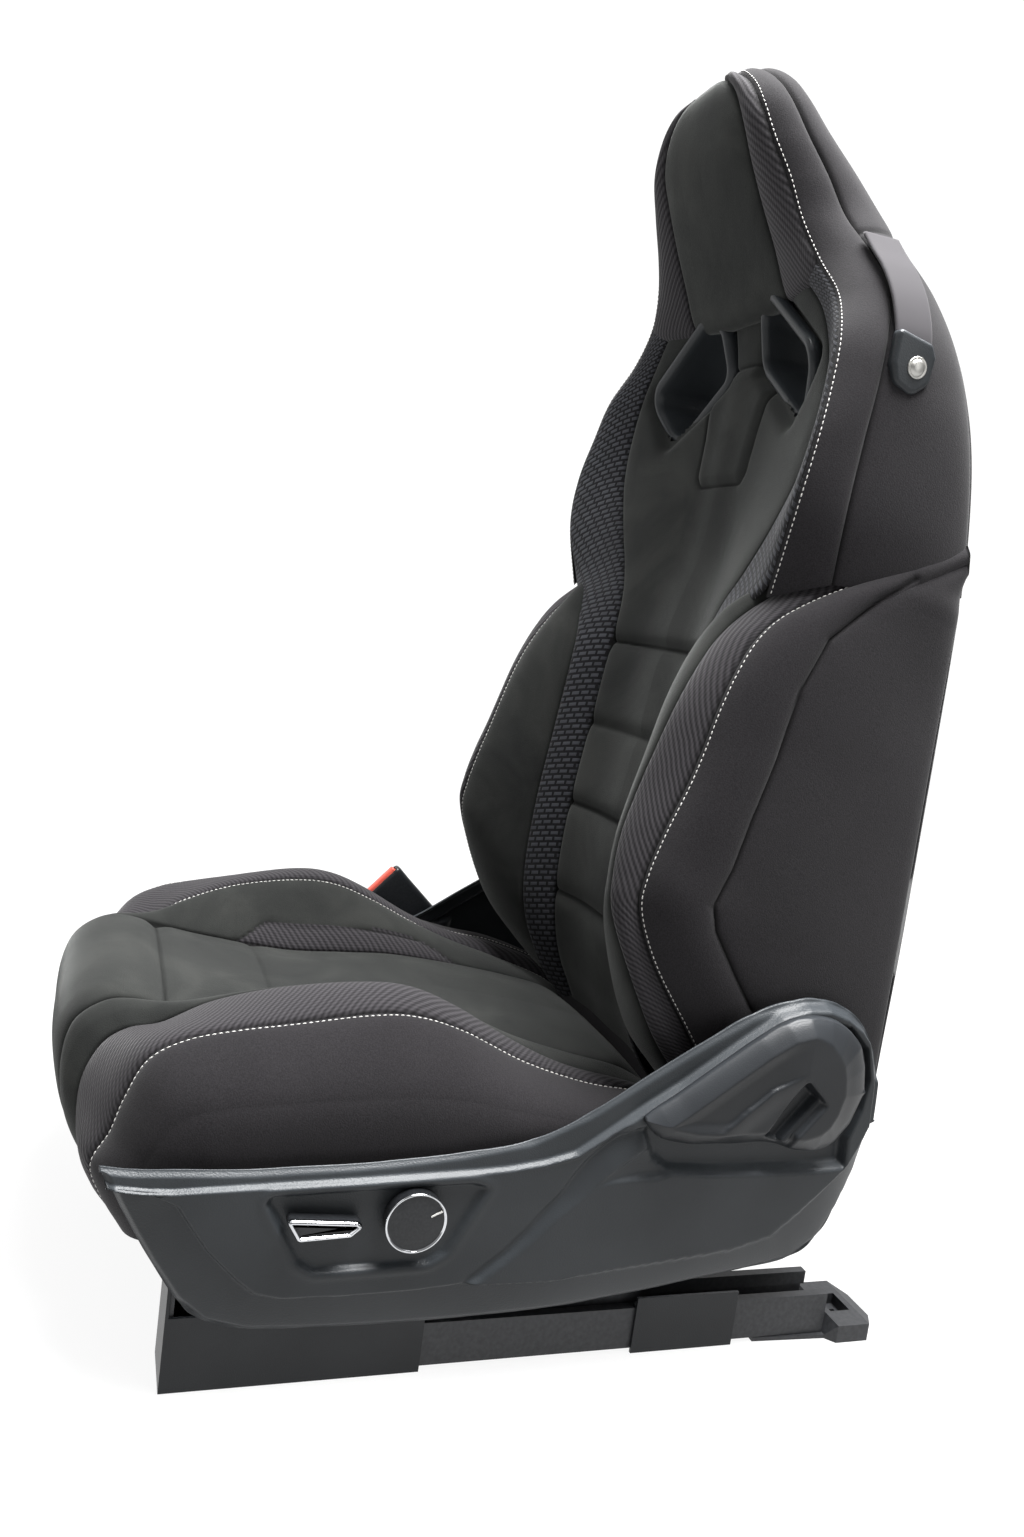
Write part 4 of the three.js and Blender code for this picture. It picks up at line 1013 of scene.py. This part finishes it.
def shield_height(y, z, with_controls):
    """The x of the shield's outer face at each (y, z)."""
    to_top = line_gap(y, z, SHIELD_TOP)
    to_ridge = line_gap(y, z, RIDGE)
    to_low = line_gap(y, z, SHIELD_LOW)
    fold = PANEL_LINE + LOWER_CREASE[1:]
    to_fold = line_gap(y, z, fold)
    above_ridge = depth_in(y, z, RIDGE + ALL_ABOVE) > 0
    rear = rise(y, -60, 90)
    ridge_x = FACE_X - 3.5 * (1 - rear)
    band = BAND_X + 3 * to_top / (to_top + to_ridge + 1e-6)
    band += (ridge_x - band) * rise(-to_ridge, -4, -0.5)
    skirt_x = FACE_X - SKIRT_DROP + 5 * rear
    skirt = SHIELD_EDGE_X + (skirt_x - SHIELD_EDGE_X) * (to_low / (to_low + to_fold + 1e-6)) ** 0.7
    raised = PANEL_LINE + SWEEP_TOP + [(75, 232), (48, 213), (-3, 189), (-145, 179), (-274, 175)]
    front = FACE_X - SKIRT_DROP + PANEL_RISE * rise(depth_in(y, z, raised), -2, 2)
    main = np.where(y < 60, front, FACE_X)
    in_sweep = depth_in(y, z, SWEEP_TOP + SWEEP_LOW[::-1]) > 0
    to_sweep = line_gap(y, z, SWEEP_LOW)
    slope = to_sweep / (to_sweep + line_gap(y, z, SWEEP_TOP) + 1e-6)
    behind_sweep = depth_in(y, z, SWEEP_LOW + ALL_BEHIND) > 0
    main = np.where(behind_sweep, FACE_X, main)
    main = np.where(in_sweep, FACE_X - SWEEP_DROP * slope, main)
    below_fold = depth_in(y, z, fold + ALL_BELOW) > 0
    x = np.where(above_ridge, band, np.where(below_fold, skirt, main))
    if with_controls:
        x = np.where(depth_in(y, z, SHELF) > 0, x - 5 * rise(y, 30, 95), x)
        well = rise(depth_in(y, z, LEVER_WELL), -1, 4)
        x = x * (1 - well) + WELL_X * well
        window = depth_in(y, z, rounded(SWITCH_WINDOW, [6, 6, 4, 10, 14, 14, 10]))
        x = x + 1.2 * np.exp(-(((window + 3) / 3) ** 2))
        inside = rise(window, 0, 3)
        x = x * (1 - inside) + WINDOW_X * inside
    border = np.minimum(to_top, to_low)
    return x - 3 * (1 - rise(border, 0, 5))


place = between(400, SHIELD_LOW, SHIELD_TOP, 150)
y, z = place[:, :, 0], place[:, :, 1]
for side, sign in SIDES:
    x = soften(shield_height(y, z, sign > 0)) * sign
    bm = bmesh.new()
    rod_hole = np.hypot(y - HINGE_AT[0], z - HINGE_AT[1]) > HINGE_HOLE
    lay(bm, np.stack([x, y, z], axis=2) / 1000, keep=rod_hole)
    face_along(bm, 0, sign)
    replaced = [f"side_shield_{side}"] + (["switch_panel"] if sign > 0 else [])
    shield = finish_piece(f"shield_{side}", bm, [plastic], "seat_base", replaced)
    thicken(shield, SHIELD_WALL, -1)

# ---------- Recline lever ----------
# A domed handle round the hinge with a ridge along its top, a fold below it, and a finger pocket.
dark_plastic, node, math_node, bump, ramp, join = new_material(
    "dark_plastic", (0.015, 0.016, 0.018), 0.36, Specular_IOR_Level=0.26
)
worn = node("TexNoise", {"Vector": object_point(node)}, in_Scale=14, in_Detail=3)
grain = node("TexVoronoi", {"Vector": object_point(node)}, in_Scale=1100, feature="SMOOTH_F1")
tones = ramp(worn.outputs["Fac"], [(0.3, (0.01, 0.011, 0.0125)), (0.7, (0.015, 0.0165, 0.0185))])
# Up-facing faces are painted paler, as painted light from above.
join(painted_top_light(node, math_node, tones), "Base Color")
join(bump(grain.outputs["Distance"], 0.2, 0.0004), "Normal")
LEVER_TOP = [
    (70, 229), (80, 237), (95, 247), (130, 273), (159, 294), (181, 307), (201, 312), (223, 310), (241, 301),
    (254, 288), (261, 270), (264, 252),
]
LEVER_LOW = [
    (70, 226), (76, 219), (86, 212), (110, 207), (146, 205), (175, 206), (191, 204), (205, 200), (225, 198),
    (243, 205), (256, 222), (264, 246),
]
LEVER_FOLD = [(100, 206), (109, 209), (129, 218), (150, 237), (173, 256), (200, 268)]
POCKET = [(173, 215), (202, 263), (223, 243), (194, 207)]
LEVER_BACK, LEVER_FACE, POCKET_FLOOR, POCKET_LEDGE = 289, 305, 290, 299
place = between(200, LEVER_LOW, LEVER_TOP, 100)
y, z = place[:, :, 0], place[:, :, 1]
to_edge = np.minimum(line_gap(y, z, LEVER_TOP), line_gap(y, z, LEVER_LOW))
dome = 13 + 14 * rise(y, 200, 245)
x = LEVER_BACK + 3 + (LEVER_FACE - LEVER_BACK - 3) * np.clip(to_edge / dome, 0, 1) ** 0.7
fold_z = np.interp(y, *zip(*LEVER_FOLD))
facet = (z < fold_z) & (y < 200)
x -= np.where(facet, 4 * rise(line_gap(y, z, LEVER_FOLD), 0, 22), 0)
x -= np.where(facet | (y > 200), 0, 3.2 * rise(to_edge, 12, 24) * (1 - rise(y, 170, 205)))
pocket = depth_in(y, z, rounded(POCKET, 3))
x = x * (1 - rise(pocket, 0, 2)) + POCKET_FLOOR * rise(pocket, 0, 2)
ledge = rise(7.5 - line_gap(y, z, POCKET[2:]), 0, 1.5) * (pocket > 1)
x = x * (1 - ledge) + POCKET_LEDGE * ledge
x = soften(x)
x[0], x[-1], x[:, 0], x[:, -1] = LEVER_BACK, LEVER_BACK, LEVER_BACK, LEVER_BACK
bm = bmesh.new()
lay(bm, np.stack([x, y, z], axis=2) / 1000)
weld(bm, 0.00001)
cap_holes(bm)
face_out(bm)
finish_piece("lever_handle", bm, [dark_plastic], "lever", ["recline_lever"])

# ---------- Switches ----------
# A bright-rimmed paddle slides and tilts for travel and height, and a ringed dial rocks for the lumbar mat.
chrome, node, math_node, bump, ramp, join = new_material("bright_trim", (0.6, 0.61, 0.62), 0.12, 1.0)
smear = node("TexNoise", {"Vector": object_point(node)}, in_Scale=40)
join(ramp(smear.outputs["Fac"], [(0.3, (0.5, 0.51, 0.53)), (0.7, (0.66, 0.67, 0.69))]), "Base Color")
gloss, node, math_node, bump, ramp, join = new_material(
    "gloss_black", (0.01, 0.011, 0.013), 0.3, Specular_IOR_Level=0.3
)
dust = node("TexNoise", {"Vector": object_point(node)}, in_Scale=500, in_Detail=2)
join(ramp(dust.outputs["Fac"], [(0.35, (0.01, 0.011, 0.0125)), (0.7, (0.017, 0.018, 0.02))]), "Base Color")

PADDLE = [(-198, 158), (-187, 140), (-149, 142), (-140, 150), (-145, 154)]
ring = spread(rounded(PADDLE, [3, 4, 4, 3, 3], 6), 0.9)
bm = bmesh.new()
paddle_levels = [
    (283, 0), (291, 0), (293, 0.4), (294.4, 1.4), (294.6, 2.4), (294.2, 3), (292.6, 3.3), (292.2, 4),
    (293, 5.5),
]
outline_loft(bm, plate_rings(ring, paddle_levels), [1, 0, 0, 0, 0, 0, 1, 1])
finish_piece("paddle", bm, [chrome, gloss], "slide_switch", ["switch_paddle"])

DIAL_AT = (-102, 151)
dial_levels = [
    (283, 22.4), (291, 22.8), (292.6, 23.2), (294, 23), (294.4, 22.4), (294, 21.6), (292.8, 21.3), (293, 20),
    (294.2, 10), (294.4, 0.5),
]
bm = bmesh.new()
outline_loft(bm, disc_rings(DIAL_AT, dial_levels, 72), [1, 1, 0, 0, 0, 0, 1, 1, 1])
finish_piece("dial", bm, [chrome, gloss], "lumbar_switch", ["lumbar_dial"])
bm = bmesh.new()
mark_at = Matrix.Translation((0.2937, (DIAL_AT[0] + 14.5) / 1000, (DIAL_AT[1] + 7) / 1000))
mark_turn = Matrix.Rotation(math.radians(25), 4, "X")
mark_size = Matrix.Diagonal((0.0014, 0.009, 0.0011, 1))
bmesh.ops.create_cube(bm, size=1, matrix=mark_at @ mark_turn @ mark_size)
finish_piece("dial_mark", bm, [thread], "lumbar_switch")

# ---------- Buckle ----------
# A padded-edge shell on a steel stalk, with a red release button in its mouth, leans forward.
red, node, math_node, bump, ramp, join = new_material("red_button", (0.6, 0.085, 0.055), 0.4)
fade = node("TexNoise", {"Vector": object_point(node)}, in_Scale=30)
join(ramp(fade.outputs["Fac"], [(0.3, (0.53, 0.075, 0.05)), (0.7, (0.68, 0.11, 0.075))]), "Base Color")
BUCKLE_AT, BUCKLE_LEAN, BUCKLE_X = (150, 112), math.radians(48), -297.5


def buckle_rings(levels):
    """Rings across the buckle's axis: each level is (way up it, half thickness, half width, corner)."""
    rings = []
    for up, thick, wide, corner in levels:
        ring = rounded(box(thick, -wide, wide), corner, 5)
        y = BUCKLE_AT[0] + ring[:, 1] * math.cos(BUCKLE_LEAN) - up * math.sin(BUCKLE_LEAN)
        z = BUCKLE_AT[1] + ring[:, 1] * math.sin(BUCKLE_LEAN) + up * math.cos(BUCKLE_LEAN)
        rings.append(np.stack([BUCKLE_X + ring[:, 0], y, z], axis=1) / 1000)
    return rings


bm = bmesh.new()
outline_loft(bm, buckle_rings([
    (126, 6, 19, 5), (129, 7.5, 22.5, 6), (134, 8.3, 24, 6), (200, 8.8, 26, 6), (214, 8.8, 26.8, 6),
    (217.4, 8.2, 26.2, 6), (218.2, 7, 25, 5), (218, 6.2, 22.6, 3), (204.5, 6, 22.3, 3),
]))
finish_piece("buckle_case", bm, [gloss], "buckle", ["buckle_shell"])
bm = bmesh.new()
outline_loft(bm, buckle_rings([
    (211, 5, 21.2, 2.5), (220, 5, 21.2, 2.5), (221.4, 4.2, 20.4, 2.4), (221.8, 2.8, 19, 1.6),
]))
finish_piece("buckle_release", bm, [red], "release", ["buckle_button"])

# ---------- Plastics and metals of the carried-over pieces ----------
# Painted steel rails and links, zinc-plated drives, and moulded covers, with their edges rounded.
paint, node, math_node, bump, ramp, join = new_material("black_paint", (0.02, 0.021, 0.023), 0.5, 0.2)
peel = node("TexNoise", {"Vector": object_point(node)}, in_Scale=260, in_Detail=3)
join(ramp(peel.outputs["Fac"], [(0.3, (0.015, 0.016, 0.018)), (0.7, (0.028, 0.029, 0.032))]), "Base Color")
join(bump(peel.outputs["Fac"], 0.2, 0.0006), "Normal")
EDGE_ROUNDING = 0.0016
MOULDED_ROUND = ("rear_foot", "rail_cover_rear")  # these have three times the rounding
LOOKS = {"steel": paint, "zinc": zinc, "plastic": dark_plastic, "bright": chrome, "red": red}
for name, obj in frame["nodes"].items():
    family = next(s["material_slot"] for s in frame["record"]["subparts"] if s["node"] == name)
    obj.data.materials.clear()
    obj.data.materials.append(LOOKS.get(family, cloth))
    if not obj.hide_render:
        edges = obj.modifiers.new("edges", "BEVEL")
        edges.width = EDGE_ROUNDING * (3 if name.startswith(MOULDED_ROUND) else 1)
        edges.segments = 2
        edges.limit_method = "ANGLE"
        edges.angle_limit = math.radians(35)

# ---------- Floor and light ----------
# A pale floor and large soft lamps.
floor_paint, node, math_node, bump, ramp, join = new_material(
    "floor_paint", (0.12, 0.12, 0.12), 0.9, Emission_Color=(1, 1, 1, 1), Emission_Strength=0.9
)
bm = bmesh.new()
bmesh.ops.create_grid(bm, x_segments=1, y_segments=1, size=6)
floor = make_object("floor", bm, [floor_paint])

world = bpy.data.worlds.new("studio")
bpy.context.scene.world = world
world.use_nodes = True
sky = world.node_tree
toward = sky.nodes.new("ShaderNodeTexCoord")
parts = sky.nodes.new("ShaderNodeSeparateXYZ")
fall = sky.nodes.new("ShaderNodeMapRange")
fall.inputs["From Min"].default_value = -0.62
fall.inputs["From Max"].default_value = -0.15
fall.inputs["To Min"].default_value = 1.1
fall.inputs["To Max"].default_value = 0.32
sky.links.new(toward.outputs["Generated"], parts.inputs["Vector"])
sky.links.new(parts.outputs["X"], fall.inputs["Value"])
sky.links.new(fall.outputs["Result"], sky.nodes["Background"].inputs["Strength"])
sky.nodes["Background"].inputs["Color"].default_value = (1, 1, 1, 1)
bpy.context.scene.view_settings.view_transform = "Standard"


def lamp(name, at, target, size, power):
    data = bpy.data.lights.new(name, "AREA")
    data.shape = "RECTANGLE"
    data.size, data.size_y = size
    data.energy = power
    obj = bpy.data.objects.new(name, data)
    bpy.context.scene.collection.objects.link(obj)
    obj.location = at
    obj.rotation_mode = "QUATERNION"
    obj.rotation_quaternion = (Vector(target) - Vector(at)).to_track_quat("-Z", "Y")


lamp("key", (0.5, -2.4, 2.6), (0, 0, 0.4), (1.8, 1.4), 10)
lamp("top", (0.42, 0.42, 2.5), (0, 0, 0.6), (1.3, 1.3), 235)
lamp("side", (2.6, 1.4, 1.5), (0, 0.1, 0.4), (0.8, 1.4), 10)
